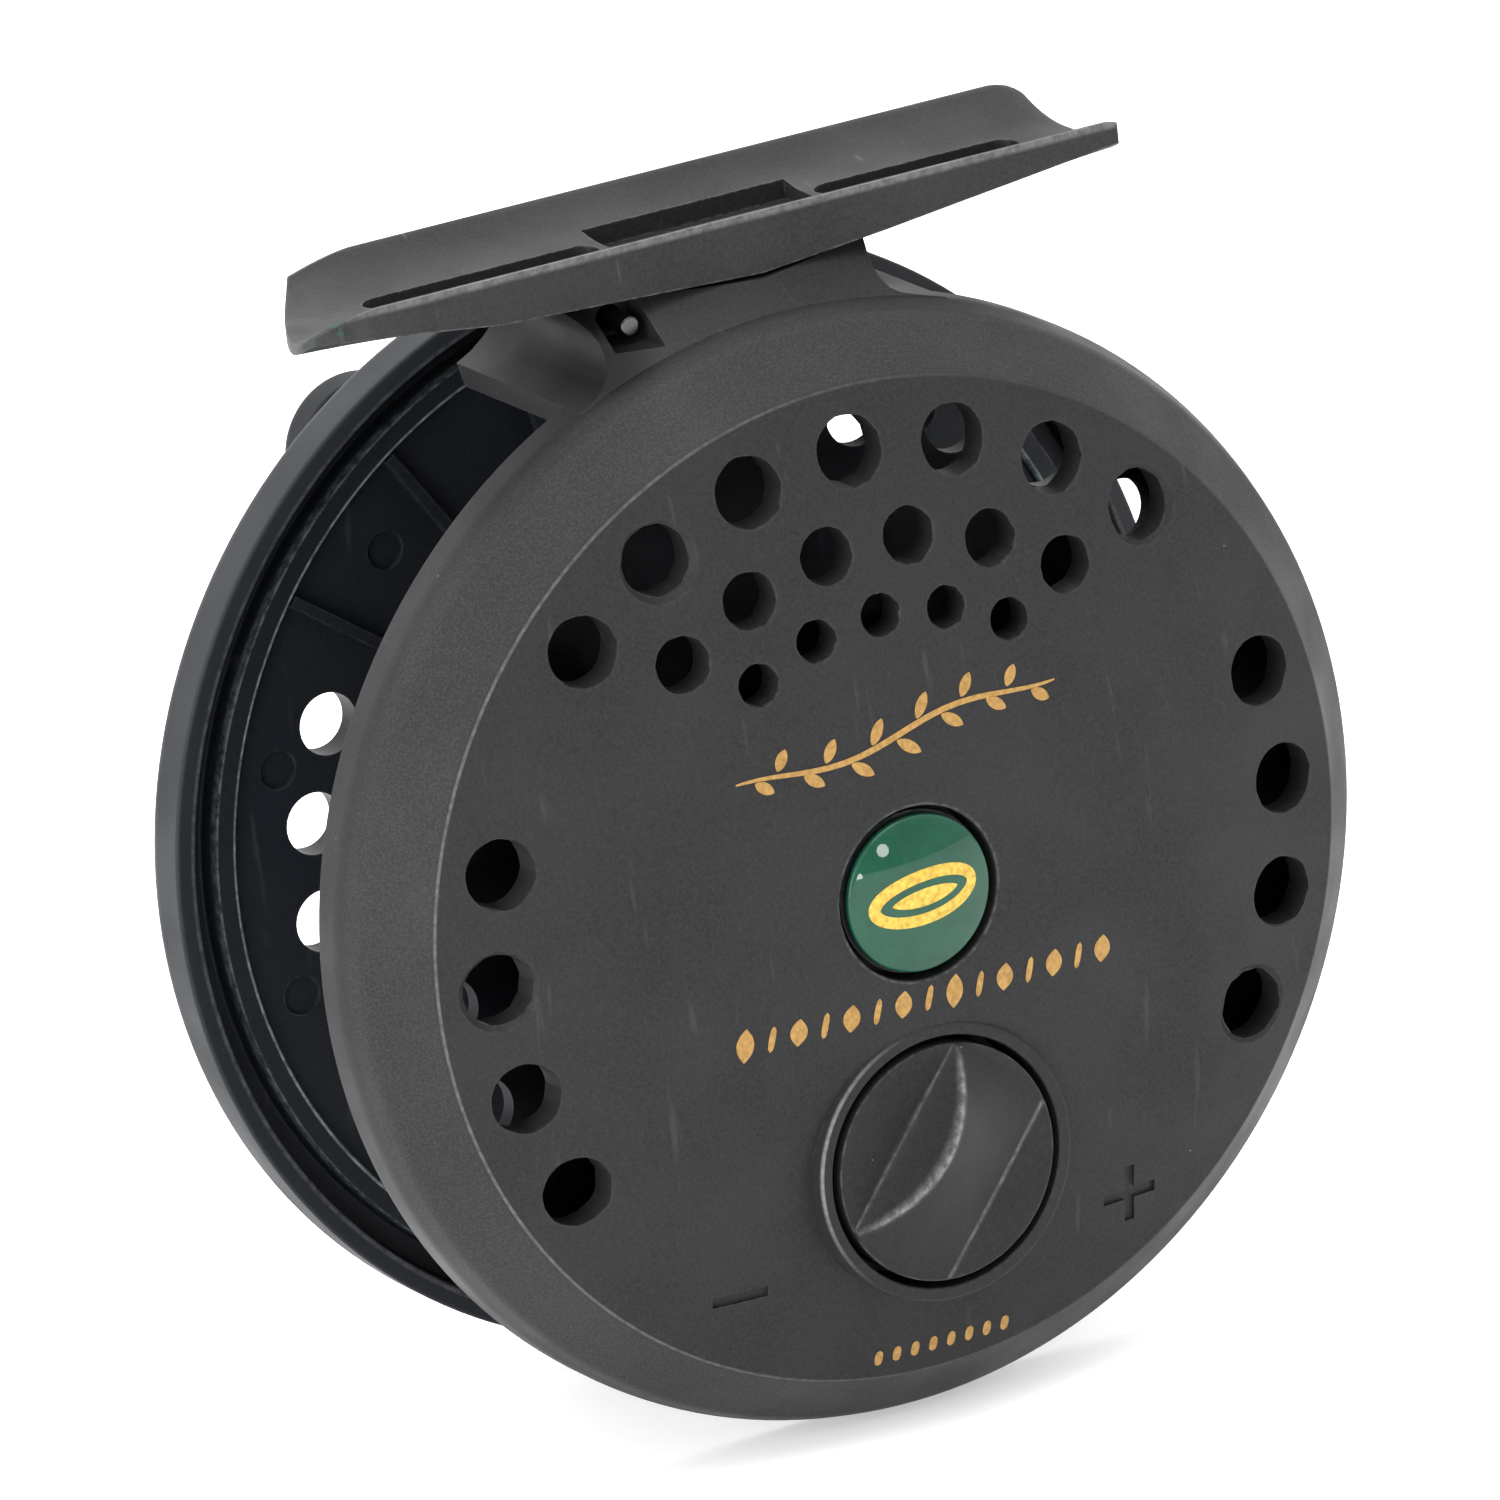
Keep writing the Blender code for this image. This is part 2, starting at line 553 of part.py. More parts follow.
def build_spool(carrier):
    spool = turned("spool", spool_profile(), "graphite_dark", steps=ROUND_STEPS, parent=carrier)
    socket_r = HEX_R + 0.4
    hexagon = arc(socket_r, 0.0, 300.0, 5)
    cut(spool, plate("drive_socket", [hexagon], SPOOL_BACK[0] - 1.0, HEX_TOP_Y + GAP))
    for group in range(3):
        for angle in RIB_ANGLES:
            rib = block("rib", (25.6, 34.75), (WEB[0] - 0.7, WEB[0] + 0.5), (-0.4, 0.4), turn=angle + 120.0 * group)
            add(spool, rib)
    cut(spool, spool_holes())
    cut(spool, block("latch_slot", (-8.3, 14.4), (PLATE[0] - GAP, 35.0), (-4.0, 4.0)))
    handle_x, handle_z = polar(HANDLE_CIRCLE, HANDLE_ANGLE)
    cut(spool, rod("handle_hole", 2.1, 29.0, 35.0, centre=(handle_x, handle_z), steps=20))
    settle(spool)
    tube("spool_bushing", SPINDLE_R + GAP, BUSH_R, HEX_TOP_Y + GAP, GROOVE[0] - GAP, "acetal", parent=carrier)
    weight_x, weight_z = polar(WEIGHT_CIRCLE, WEIGHT_ANGLE)
    weight = [(0.0, 34.7), (WEIGHT_R - 0.3, 34.7), (WEIGHT_R, 35.0), (WEIGHT_R, 37.2), (WEIGHT_R - 0.4, 37.8),
              (WEIGHT_R - 1.2, 38.1), (0.0, 38.2)]
    weight = turned("counterweight", weight, "graphite_dark", steps=40, at=(weight_x, 0.0, weight_z), parent=carrier)
    neck_x, neck_z = polar(-2.6, WEIGHT_ANGLE)
    add(weight, rod("weight_neck", 2.2, WEB[1] + GAP, 35.4, centre=(neck_x, neck_z), steps=20,
                    at=(weight_x, 0.0, weight_z), parent=carrier))
    settle(weight)


def build_handle(carrier, handle_empty):
    """The post riveted through the flange and the knob that spins on it."""
    post_r = 1.75
    post = [(0.0, 30.1), (2.9, 30.1), (2.9, WEB[0] - GAP), (post_r, WEB[0] - GAP), (post_r, WEB[1] + GAP),
            (3.6, WEB[1] + GAP), (3.6, 34.3), (post_r, 34.3), (post_r, HANDLE_END_Y + GAP),
            (2.9, HANDLE_END_Y + GAP), (2.9, HANDLE_END_Y + 0.9), (2.3, HANDLE_END_Y + 1.4), (0.0, HANDLE_END_Y + 1.4)]
    settle(turned("handle_post", post, "steel", steps=24, parent=handle_empty))
    low = 34.3 + GAP
    grip = [(post_r + GAP, low), (4.4, low), (5.2, low + 0.8), (5.3, low + 2.2), (4.7, low + 4.6), (4.6, low + 7.0),
            (5.2, low + 9.8), (6.1, low + 12.4), (6.3, low + 13.8), (5.9, low + 14.8), (5.0, HANDLE_END_Y),
            (post_r + GAP, HANDLE_END_Y)]
    settle(turned("handle_knob", grip, "handle_black", steps=32, parent=handle_empty))


def build_latch(carrier):
    """The latch plate that holds the spool on the spindle, its spring and the cap over them."""
    hole_r = GROOVE_R + GAP + LATCH_TRAVEL
    side = 3.6
    outline = [(-6.4, -side), (12.6, -side), (12.6, side), (-6.4, side)]
    hole = arc(hole_r - 0.5, 0.0, 345.0, 23, (LATCH_TRAVEL - 0.5, 0.0))
    latch = plate("latch_plate", [outline, hole], PLATE[0], PLATE[1], "steel", parent=carrier)
    add(latch, block("thumb_tab", (10.6, 12.6), (PLATE[0], 36.4), (-side, side), parent=carrier))
    add(latch, block("spring_lug_plate", (-4.3, -3.5), (PLATE[0], 35.6), (-1.4, 1.4), parent=carrier))
    settle(latch)
    turns, per_turn = 3, 10
    points = []
    for step in range(turns * per_turn + 1):
        angle = math.tau * step / per_turn
        x = -6.9 + 2.1 * step / (turns * per_turn)
        points.append((x, 34.7 + 0.75 * math.cos(angle), 0.75 * math.sin(angle)))
    wire("latch_spring", points, 0.15, "spring_steel", parent=carrier)
    cap = [(0.0, CAP[1]), (CAP_R - 2.5, CAP[1] - 0.1), (CAP_R - 0.8, CAP[1] - 0.6), (CAP_R, CAP[1] - 1.6),
           (CAP_R, CAP[0]), (CAP_R - 1.4, CAP[0]), (CAP_R - 1.4, CAP[1] - 1.4), (0.0, CAP[1] - 1.4)]
    settle(turned("latch_cap", cap, "handle_black", steps=48, parent=carrier))


def knob_grip(knob_empty):
    """A wedge across the knob's face, steep on one side, its ends rounded off by a ball."""
    sunk = 0.5
    wedge = [(-GRIP_TOE - 0.4, -sunk), (GRIP_CHORD + 0.25, -sunk), (GRIP_CREST, GRIP_HEIGHT)]
    grip = plate("grip_wedge", [wedge], -KNOB_R, KNOB_R, parent=knob_empty)
    grip.data.transform(Matrix.Rotation(math.radians(-GRIP_ANGLE), 4, "Y") @ Matrix.Rotation(math.radians(90), 4, "X"))
    grip.location = Vector((0.0, KNOB_FACE_Y, 0.0)) * MM
    half = math.sqrt(KNOB_R ** 2 - GRIP_CHORD ** 2)
    ball_r = (half ** 2 + GRIP_HEIGHT ** 2) / (2 * GRIP_HEIGHT)
    ball = [(ball_r * math.cos(math.radians(step)), ball_r * math.sin(math.radians(step))) for step in range(-90, 91, 15)]
    ball = [(0.0 if abs(radius) < 1e-6 else radius, y - GRIP_HEIGHT + ball_r + KNOB_FACE_Y) for radius, y in ball]
    combine(grip, turned("grip_ball", ball, steps=48, parent=knob_empty), "INTERSECT")
    combine(grip, rod("grip_rim", KNOB_R - 0.3, -12.0, 2.0, steps=48, parent=knob_empty), "INTERSECT")
    return grip


def build_knob(knob_empty):
    """Drag knob with its half-moon grip, the shaft with its cam, and the washer and clip that hold them."""
    floor = WELL_Y - 0.5 - 2 * GAP
    body = [(0.0, floor), (KNOB_R, floor), (KNOB_R, KNOB_FACE_Y + 0.3), (KNOB_R - 0.3, KNOB_FACE_Y),
            (0.0, KNOB_FACE_Y)]
    knob = turned("drag_knob", body, "knob_graphite", steps=48, parent=knob_empty)
    add(knob, knob_grip(knob_empty))
    cut(knob, rod("knob_socket", SHAFT_R + GAP, -1.8, 2.0, parent=knob_empty))
    settle(knob)
    shaft = rod("knob_shaft", SHAFT_R, -1.5, CAM[0] + 0.2, "brass", parent=knob_empty)
    add(shaft, rod("cam", CAM_R, CAM[0], CAM[1], centre=(-CAM_OFFSET, 0.0), steps=40, parent=knob_empty))
    settle(shaft)
    tube("knob_washer", SHAFT_R + GAP, 7.4, WELL_Y - 0.5 - GAP, WELL_Y - GAP, "spring_steel", parent=knob_empty)
    tube("knob_clip", SHAFT_R + GAP, 4.0, COLLAR_INNER_Y + GAP, COLLAR_INNER_Y + GAP + 0.8, "spring_steel",
         parent=knob_empty)


def build_shoe():
    """The shoe that the cam lifts towards the drag disc, and the cork pad it carries."""
    spread = 28.0
    inner, outer = PAD[1] + GAP, PAD[1] + GAP + 1.6
    arm = arc(outer, 270.0 + spread, 270.0 - spread, 12) + arc(inner, 270.0 - spread, 270.0 + spread, 12)
    shoe = plate("drag_shoe", [arm], SHOE_Y[0], SHOE_Y[1], "steel")
    add(shoe, rod("shoe_ring", SHOE_RING_R, SHOE_Y[0], SHOE_Y[1], centre=(0.0, KNOB_Z), steps=40))
    cut(shoe, rod("cam_pocket", CAM_R + CAM_OFFSET + 0.35, 4.0, 8.0, centre=(0.0, KNOB_Z), steps=40))
    cut(shoe, rod("pad_seat", inner, 4.0, 8.0, steps=64))
    settle(shoe)
    pad = arc(PAD[1], 270.0 + spread, 270.0 - spread, 12) + arc(PAD[0], 270.0 - spread, 270.0 + spread, 12)
    plate("drag_pad", [pad], SHOE_Y[0], SHOE_Y[1], "cork")


def build_pawl(pawl_empty):
    """The click pawl, its post and clip, and the wire spring behind it."""
    rod("pawl_post", PAWL_POST_R, 0.6, 5.6, "steel", steps=20, parent=pawl_empty)
    tube("pawl_clip", PAWL_POST_R + GAP, 2.9, RATCHET[1] + GAP, RATCHET[1] + GAP + 0.6, "spring_steel", steps=24,
         parent=pawl_empty)
    pivot_x, pivot_z = from_nose(PAWL_REACH, PAWL_RISE)
    nose = [from_nose(-0.45, 1.0), from_nose(0.0, 0.0), from_nose(0.45, 0.9)]
    nose = [(x - pivot_x, z - pivot_z) for x, z in nose]
    back = PAWL_ROOT_ANGLE + 90.0
    body = nose + arc(2.9, back + 95.0, back - 105.0, 14)
    hole = arc(PAWL_POST_R + GAP, 0.0, 337.5, 15)
    plate("click_pawl", [body, hole], RATCHET[0], RATCHET[1], "steel", parent=pawl_empty)
    touch = from_nose(3.0, 4.0)
    lug_x, lug_z = SPRING_LUG
    level = (RATCHET[0] + RATCHET[1]) / 2
    wire("pawl_spring", [(lug_x, 1.9, lug_z), (lug_x, level - 0.4, lug_z), (lug_x - 0.3, level, lug_z + 0.4),
                         (touch[0], level, touch[1])], 0.25, "spring_steel")


def main():
    build_frame()
    build_foot()
    build_spindle()
    build_drive()
    carrier = new_empty("spool_carrier", (0.0, 0.0, 0.0), REEL_AXIS)
    build_spool(carrier)
    build_latch(carrier)
    handle_x, handle_z = polar(HANDLE_CIRCLE, HANDLE_ANGLE)
    build_handle(carrier, new_empty("handle_axis", (handle_x, 0.0, handle_z), REEL_AXIS))
    build_knob(new_empty("knob_axis", (0.0, 0.0, KNOB_Z), REEL_AXIS))
    build_shoe()
    pawl_x, pawl_z = from_nose(PAWL_REACH, PAWL_RISE)
    build_pawl(new_empty("pawl_axis", (pawl_x, 0.0, pawl_z), REEL_AXIS))


main()
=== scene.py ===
"""Looks of the fly reel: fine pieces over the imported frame, procedural finishes and soft studio light.

Reel space, used by the functions below, is in millimetres: Y is the reel's axis, Y = 0 is the plane of the
back face's edge, +Y points to the handle side and +Z to the foot.  AXIS carries it to the row frame.
"""
import json
import math
import random

import bmesh
import bpy
from mathutils import Matrix, Vector


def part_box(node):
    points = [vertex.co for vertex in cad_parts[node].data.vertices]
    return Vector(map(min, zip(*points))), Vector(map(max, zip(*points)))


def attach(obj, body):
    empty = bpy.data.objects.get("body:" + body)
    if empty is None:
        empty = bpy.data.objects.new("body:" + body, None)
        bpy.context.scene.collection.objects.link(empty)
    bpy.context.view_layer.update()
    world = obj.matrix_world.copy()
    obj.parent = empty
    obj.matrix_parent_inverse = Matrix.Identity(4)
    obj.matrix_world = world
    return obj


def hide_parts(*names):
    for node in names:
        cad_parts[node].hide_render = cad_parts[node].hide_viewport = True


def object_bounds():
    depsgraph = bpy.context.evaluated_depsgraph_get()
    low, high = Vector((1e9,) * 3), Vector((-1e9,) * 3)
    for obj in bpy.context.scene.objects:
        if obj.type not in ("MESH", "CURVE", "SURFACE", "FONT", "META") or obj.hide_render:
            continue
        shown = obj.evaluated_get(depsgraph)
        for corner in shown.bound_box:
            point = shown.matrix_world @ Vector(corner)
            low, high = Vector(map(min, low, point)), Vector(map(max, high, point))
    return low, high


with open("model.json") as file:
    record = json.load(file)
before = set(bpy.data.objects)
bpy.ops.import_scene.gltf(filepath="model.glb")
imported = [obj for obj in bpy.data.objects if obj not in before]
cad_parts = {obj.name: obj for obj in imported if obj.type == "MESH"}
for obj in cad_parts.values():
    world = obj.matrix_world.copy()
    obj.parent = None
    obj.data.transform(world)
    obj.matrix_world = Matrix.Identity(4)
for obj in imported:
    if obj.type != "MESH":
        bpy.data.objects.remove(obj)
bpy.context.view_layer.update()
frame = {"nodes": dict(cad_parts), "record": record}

MM = 0.001
STEPS = 180
SMOOTH_ANGLE = math.radians(32)
SPINDLE_LOW_Y = -2.5
FRAME_R, FACE_R, DOME_HEIGHT, CHAMFER_DEPTH, FRAME_EDGE_Y = 40.0, 35.6, 4.3, 6.15, 8.8
SHELL, FRAME_BORE_R, BOSS_R, BOSS_Y, STUB_BORE_R = 2.4, 37.8, 8.0, 3.5, 2.3
RECESS_R, RECESS_Y = 6.2, -1.2
HOLE_PITCH = 15.0
HOLE_ROWS = (
    (31.3, 2.5, 45.0, 135.0),
    (31.3, 2.5, 165.0, 210.0),
    (31.3, 2.5, -30.0, 15.0),
    (24.95, 2.0, 52.5, 127.5),
    (19.9, 1.5, 60.0, 120.0),
)
ROUGH_HOLES = (45.0, 120.0, 180.0, 330.0)
FOOT_Y, FOOT_HALF = 16.5, 7.6
FOOT_LEFT, FOOT_RIGHT = -35.3, 29.3
LIP_Z, SADDLE_Z, LIP_FLAT, FOOT_SKIN = 46.5, 44.4, 0.35, 1.3
FOOT_SIDE_BOTTOM = ((-35.3, 45.0), (-25.6, 43.8), (-20.5, 43.1), (0.0, 42.1), (9.7, 42.9), (29.3, 44.9))
TONGUE = (-11.8, 6.2)
PIN_Z = 40.7
PINS = ((-10.6, 9.0, 22.8), (4.4, 10.5, 23.8))
KNOB_Z, KNOB_R, KNOB_FACE_Y, KNOB_FLOOR_Y = -19.65, 8.5, -4.2, -0.1
COLLAR_R, COLLAR_Y, COLLAR_INNER_Y, WELL_R, WELL_Y = 9.95, -4.1, 3.2, 9.05, 1.0
GRIP_ANGLE, GRIP_CHORD, GRIP_TOE, GRIP_CREST, GRIP_HEIGHT, GRIP_HALF = 141.0, 4.15, 4.6, 2.5, 3.9, 7.75
PAWL_POINT = (17.76, -0.439)
SPRING_LUG = (20.6, -12.4)
SPOOL_BACK, SPOOL_BACK_R = (7.2, 8.6), 37.3
ARBOR_R, CAVITY_R, HUB_R, RIM_BORE_R, SPOOL_R, WEB = 16.0, 14.4, 9.8, 4.6, 40.0, (31.0, 33.2)
WEB_HOLE_CIRCLE, WEB_HOLE_R, WEB_HOLE_START, WEB_HOLE_PITCH = 28.4, 2.25, 157.4, 14.4
BACK_HOLE_CIRCLE, BACK_HOLE_R = 31.6, 2.4
RIB_ANGLES = (104.5, 124.0, 144.0)
WEIGHT_ANGLE, WEIGHT_CIRCLE, HANDLE_CIRCLE = 123.6, 33.8, 27.0
HANDLE_ANGLE = WEIGHT_ANGLE + 180.0
BADGE_R, BADGE_RISE, BADGE_TOP_Y = 5.45, 0.95, -5.25
CAMERA_ANGLES = 27.5088, 17.2608, -6.2357
CAMERA_DISTANCE, CAMERA_SHIFT = 1382.42, (9.599, 8.996)
LENS, SENSOR = 480.0, 36.0
WHITE = (1.0, 1.0, 1.0, 1.0)

low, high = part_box("spindle")
AXIS = Vector(((low.x + high.x) / 2, low.y - SPINDLE_LOW_Y * MM, (low.z + high.z) / 2))
SCENE = bpy.context.scene
SCRATCH = []


# ---------------------------------------------------------------- shapes

def polar(radius, degrees):
    return radius * math.cos(math.radians(degrees)), radius * math.sin(math.radians(degrees))


def arc(radius, start, end, steps, centre=(0.0, 0.0)):
    points = []
    for step in range(steps + 1):
        x, z = polar(radius, start + (end - start) * step / steps)
        points.append((x + centre[0], z + centre[1]))
    return points


def solid(name, bm, at=(0.0, 0.0, 0.0)):
    """An object in reel space from a closed bmesh."""
    bmesh.ops.recalc_face_normals(bm, faces=bm.faces[:])
    mesh = bpy.data.meshes.new(name)
    bm.to_mesh(mesh)
    bm.free()
    made = bpy.data.objects.new(name, mesh)
    made.location = AXIS + Vector(at) * MM
    SCENE.collection.objects.link(made)
    SCRATCH.append(made)
    return made


def eased(corners, steps=4):
    """Corners (a, b, ease) of a closed outline, each rounded off over its ease."""
    points = []
    for number, (a, b, ease) in enumerate(corners):
        here = Vector((a, b))
        if not ease:
            points.append((a, b))
            continue
        before = Vector(corners[number - 1][:2]) - here
        after = Vector(corners[(number + 1) % len(corners)][:2]) - here
        start = here + before.normalized() * min(ease, 0.45 * before.length)
        end = here + after.normalized() * min(ease, 0.45 * after.length)
        for step in range(steps + 1):
            t = step / steps
            points.append(tuple(start * (1 - t) ** 2 + here * 2 * t * (1 - t) + end * t * t))
    return points


def lathe(name, profile, steps=STEPS, at=(0.0, 0.0, 0.0), turn=0.0):
    """A closed profile of (radius, y) turned about Y."""
    bm = bmesh.new()
    rings = []
    for radius, y in profile:
        if radius < 1e-6:
            rings.append([bm.verts.new((0.0, y * MM, 0.0))] * steps)
            continue
        ring = []
        for step in range(steps):
            x, z = polar(radius, turn + 360.0 * step / steps)
            ring.append(bm.verts.new((x * MM, y * MM, z * MM)))
        rings.append(ring)
    for number, ring in enumerate(rings):
        other = rings[(number + 1) % len(rings)]
        for step in range(steps):
            after = (step + 1) % steps
            corners = list(dict.fromkeys((ring[step], ring[after], other[after], other[step])))
            if len(corners) > 2:
                bm.faces.new(corners)
    return solid(name, bm, at)


def rod(name, radius, low, high, centre=(0.0, 0.0), steps=48):
    profile = [(0.0, low), (radius, low), (radius, high), (0.0, high)]
    return lathe(name, profile, steps, (centre[0], 0.0, centre[1]))


def prism(name, outline, low, high):
    """An outline in the XZ plane, thick along Y."""
    bm = bmesh.new()
    face = bm.faces.new([bm.verts.new((x * MM, low * MM, z * MM)) for x, z in outline])
    raised = bmesh.ops.extrude_face_region(bm, geom=[face])["geom"]
    moved = [item for item in raised if isinstance(item, bmesh.types.BMVert)]
    bmesh.ops.translate(bm, verts=moved, vec=(0.0, (high - low) * MM, 0.0))
    return solid(name, bm)


def block(name, xs, ys, zs, turn=0.0):
    bm = bmesh.new()
    bmesh.ops.create_cube(bm, size=1.0)
    bmesh.ops.scale(bm, verts=bm.verts[:], vec=[(high - low) * MM for low, high in (xs, ys, zs)])
    bmesh.ops.translate(bm, verts=bm.verts[:], vec=[(low + high) / 2 * MM for low, high in (xs, ys, zs)])
    bmesh.ops.rotate(bm, verts=bm.verts[:], matrix=Matrix.Rotation(math.radians(-turn), 3, "Y"))
    return solid(name, bm)


def frustum(bm, base, tip, base_r, tip_r, steps=44, ragged=0.0, chance=None, slot=0):
    """A closed cone between two points, its edge ragged by chance."""
    axis = (Vector(tip) - Vector(base)).normalized()
    side = axis.cross(Vector((0.31, 0.17, 0.93))).normalized()
    up = axis.cross(side)
    wobble = [ragged * chance.uniform(-1.0, 1.0) if chance else 0.0 for _ in range(steps)]
    rings = []
    for centre, radius in ((base, base_r), (tip, tip_r)):
        ring = []
        for step in range(steps):
            angle = math.tau * (step + 0.37) / steps
            reach = radius + wobble[step]
            point = Vector(centre) + (side * math.cos(angle) + up * math.sin(angle)) * reach
            ring.append(bm.verts.new(point * MM))
        rings.append(ring)
    faces = [bm.faces.new(rings[0]), bm.faces.new(rings[1][::-1])]
    for step in range(steps):
        after = (step + 1) % steps
        faces.append(bm.faces.new((rings[0][step], rings[1][step], rings[1][after], rings[0][after])))
    for face in faces:
        face.material_index = slot


def combine(piece, how, *tools):
    for tool in tools:
        step = piece.modifiers.new(how, "BOOLEAN")
        step.operation = how
        step.solver = "EXACT"
        step.object = tool


def soften(piece, width):
    edge = piece.modifiers.new("soften", "BEVEL")
    edge.width = width * MM
    edge.segments = 2
    edge.limit_method = "ANGLE"
    edge.angle_limit = math.radians(35)


def settle(piece, *finishes):
    """Turn the modifiers into mesh, shade it smooth and give it its finishes, one per material index."""
    bpy.context.view_layer.update()
    graph = bpy.context.evaluated_depsgraph_get()
    bm = bmesh.new()
    bm.from_mesh(bpy.data.meshes.new_from_object(piece.evaluated_get(graph)))
    bmesh.ops.remove_doubles(bm, verts=bm.verts[:], dist=1e-6)
    bmesh.ops.dissolve_degenerate(bm, edges=bm.edges[:], dist=1e-6)
    loose = [vert for vert in bm.verts if not vert.link_faces]
    bmesh.ops.delete(bm, geom=loose, context="VERTS")
    mesh = bpy.data.meshes.new(piece.name)
    bm.to_mesh(mesh)
    bm.free()
    piece.modifiers.clear()
    piece.data = mesh
    mesh.materials.clear()
    for finish in finishes:
        mesh.materials.append(FINISH[finish])
    mesh.shade_smooth()
    mesh.set_sharp_from_angle(angle=SMOOTH_ANGLE)
    even = piece.modifiers.new("even_shading", "WEIGHTED_NORMAL")
    even.keep_sharp = True
    return piece


def show(piece, body, slot, *stands_for):
    """Make a settled solid a piece of the reel."""
    SCRATCH.remove(piece)
    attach(piece, body)
    if stands_for:
        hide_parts(*stands_for)
    return piece


def dome(radius):
    return -DOME_HEIGHT * (1.0 - (radius / FACE_R) ** 2)


def face_y(x, z):
    return dome(math.hypot(x, z))


# ---------------------------------------------------------------- finishes

def node(tree, kind, inputs=None, **settings):
    made = tree.nodes.new(kind)
    for key, value in settings.items():
        setattr(made, key, value)
    for key, value in (inputs or {}).items():
        if isinstance(value, bpy.types.NodeSocket):
            tree.links.new(value, made.inputs[key])
        else:
            made.inputs[key].default_value = value
    return made


def grain(tree, scale, detail=2.0, roughness=0.55, stretch=(1.0, 1.0, 1.0), shift=0.0):
    """Noise of reel space, with features about 1/scale metres across."""
    place = node(tree, "ShaderNodeTexCoord").outputs["Object"]
    placing = {"Vector": place, "Scale": stretch, "Location": (shift, shift, shift)}
    mapped = node(tree, "ShaderNodeMapping", placing)
    inputs = {"Vector": mapped.outputs["Vector"], "Scale": scale, "Detail": detail, "Roughness": roughness}
    return node(tree, "ShaderNodeTexNoise", inputs).outputs["Fac"]


def ranged(tree, value, low, high, to_low=0.0, to_high=1.0):
    inputs = {"Value": value, "From Min": low, "From Max": high, "To Min": to_low, "To Max": to_high}
    return node(tree, "ShaderNodeMapRange", inputs).outputs["Result"]


def calc(tree, how, a, b=0.0):
    return node(tree, "ShaderNodeMath", {0: a, 1: b}, operation=how).outputs[0]


def blend(tree, share, a, b):
    inputs = {0: share, 6: a, 7: b}
    return node(tree, "ShaderNodeMix", inputs, data_type="RGBA").outputs[2]


def shade(colour, factor):
    return tuple(min(1.0, part * factor) for part in colour) + (1.0,)


def alignment(tree, a, b):
    return node(tree, "ShaderNodeVectorMath", {0: a, 1: b}, operation="DOT_PRODUCT").outputs["Value"]


def edge_mask(tree, radius):
    """1 along the corners of the mesh, 0 on its flats."""
    rounded = node(tree, "ShaderNodeBevel", {"Radius": radius * MM}, samples=4).outputs["Normal"]
    true_normal = node(tree, "ShaderNodeNewGeometry").outputs["Normal"]
    return ranged(tree, alignment(tree, rounded, true_normal), 0.995, 0.9)


def specks(tree, scale, size, share):
    """Sparse dots of about the size, in metres times scale."""
    place = node(tree, "ShaderNodeTexCoord").outputs["Object"]
    cells = node(tree, "ShaderNodeTexVoronoi", {"Vector": place, "Scale": scale})
    near = ranged(tree, cells.outputs["Distance"], size, size * 0.5)
    draw = node(tree, "ShaderNodeSeparateColor", {0: cells.outputs["Color"]}).outputs[0]
    chosen = ranged(tree, draw, 1.0 - share, 1.001 - share)
    return calc(tree, "MULTIPLY", near, chosen)


def new_finish(name, metallic=0.0, **fixed):
    made = bpy.data.materials.new(name)
    made.use_nodes = True
    shader = made.node_tree.nodes["Principled BSDF"]
    shader.inputs["Metallic"].default_value = metallic
    for socket, value in fixed.items():
        shader.inputs[socket.replace("_", " ")].default_value = value
    return made, made.node_tree, shader


def bump(tree, shader, height, distance):
    bumped = node(tree, "ShaderNodeBump", {"Height": height, "Distance": distance, "Strength": 1.0})
    tree.links.new(bumped.outputs["Normal"], shader.inputs["Normal"])


def reel_space(tree, part):
    """One coordinate of reel space, in millimetres."""
    place = node(tree, "ShaderNodeTexCoord").outputs["Object"]
    return calc(tree, "MULTIPLY", node(tree, "ShaderNodeSeparateXYZ", {0: place}).outputs[part], 1000.0)


def radius_from(tree, z=0.0):
    """Distance from a line along Y at that height, in millimetres."""
    across = calc(tree, "POWER", reel_space(tree, "X"), 2.0)
    upward = calc(tree, "POWER", calc(tree, "SUBTRACT", reel_space(tree, "Z"), z), 2.0)
    return calc(tree, "SQRT", calc(tree, "ADD", across, upward))


def line_at(tree, value, middle, half):
    """1 where the value is within half of the middle, fading out over as much again."""
    away = calc(tree, "ABSOLUTE", calc(tree, "SUBTRACT", value, middle))
    return ranged(tree, away, half, half * 2.0, 1.0, 0.0)


def product(tree, *parts):
    total = parts[0]
    for part in parts[1:]:
        total = calc(tree, "MULTIPLY", total, part)
    return total


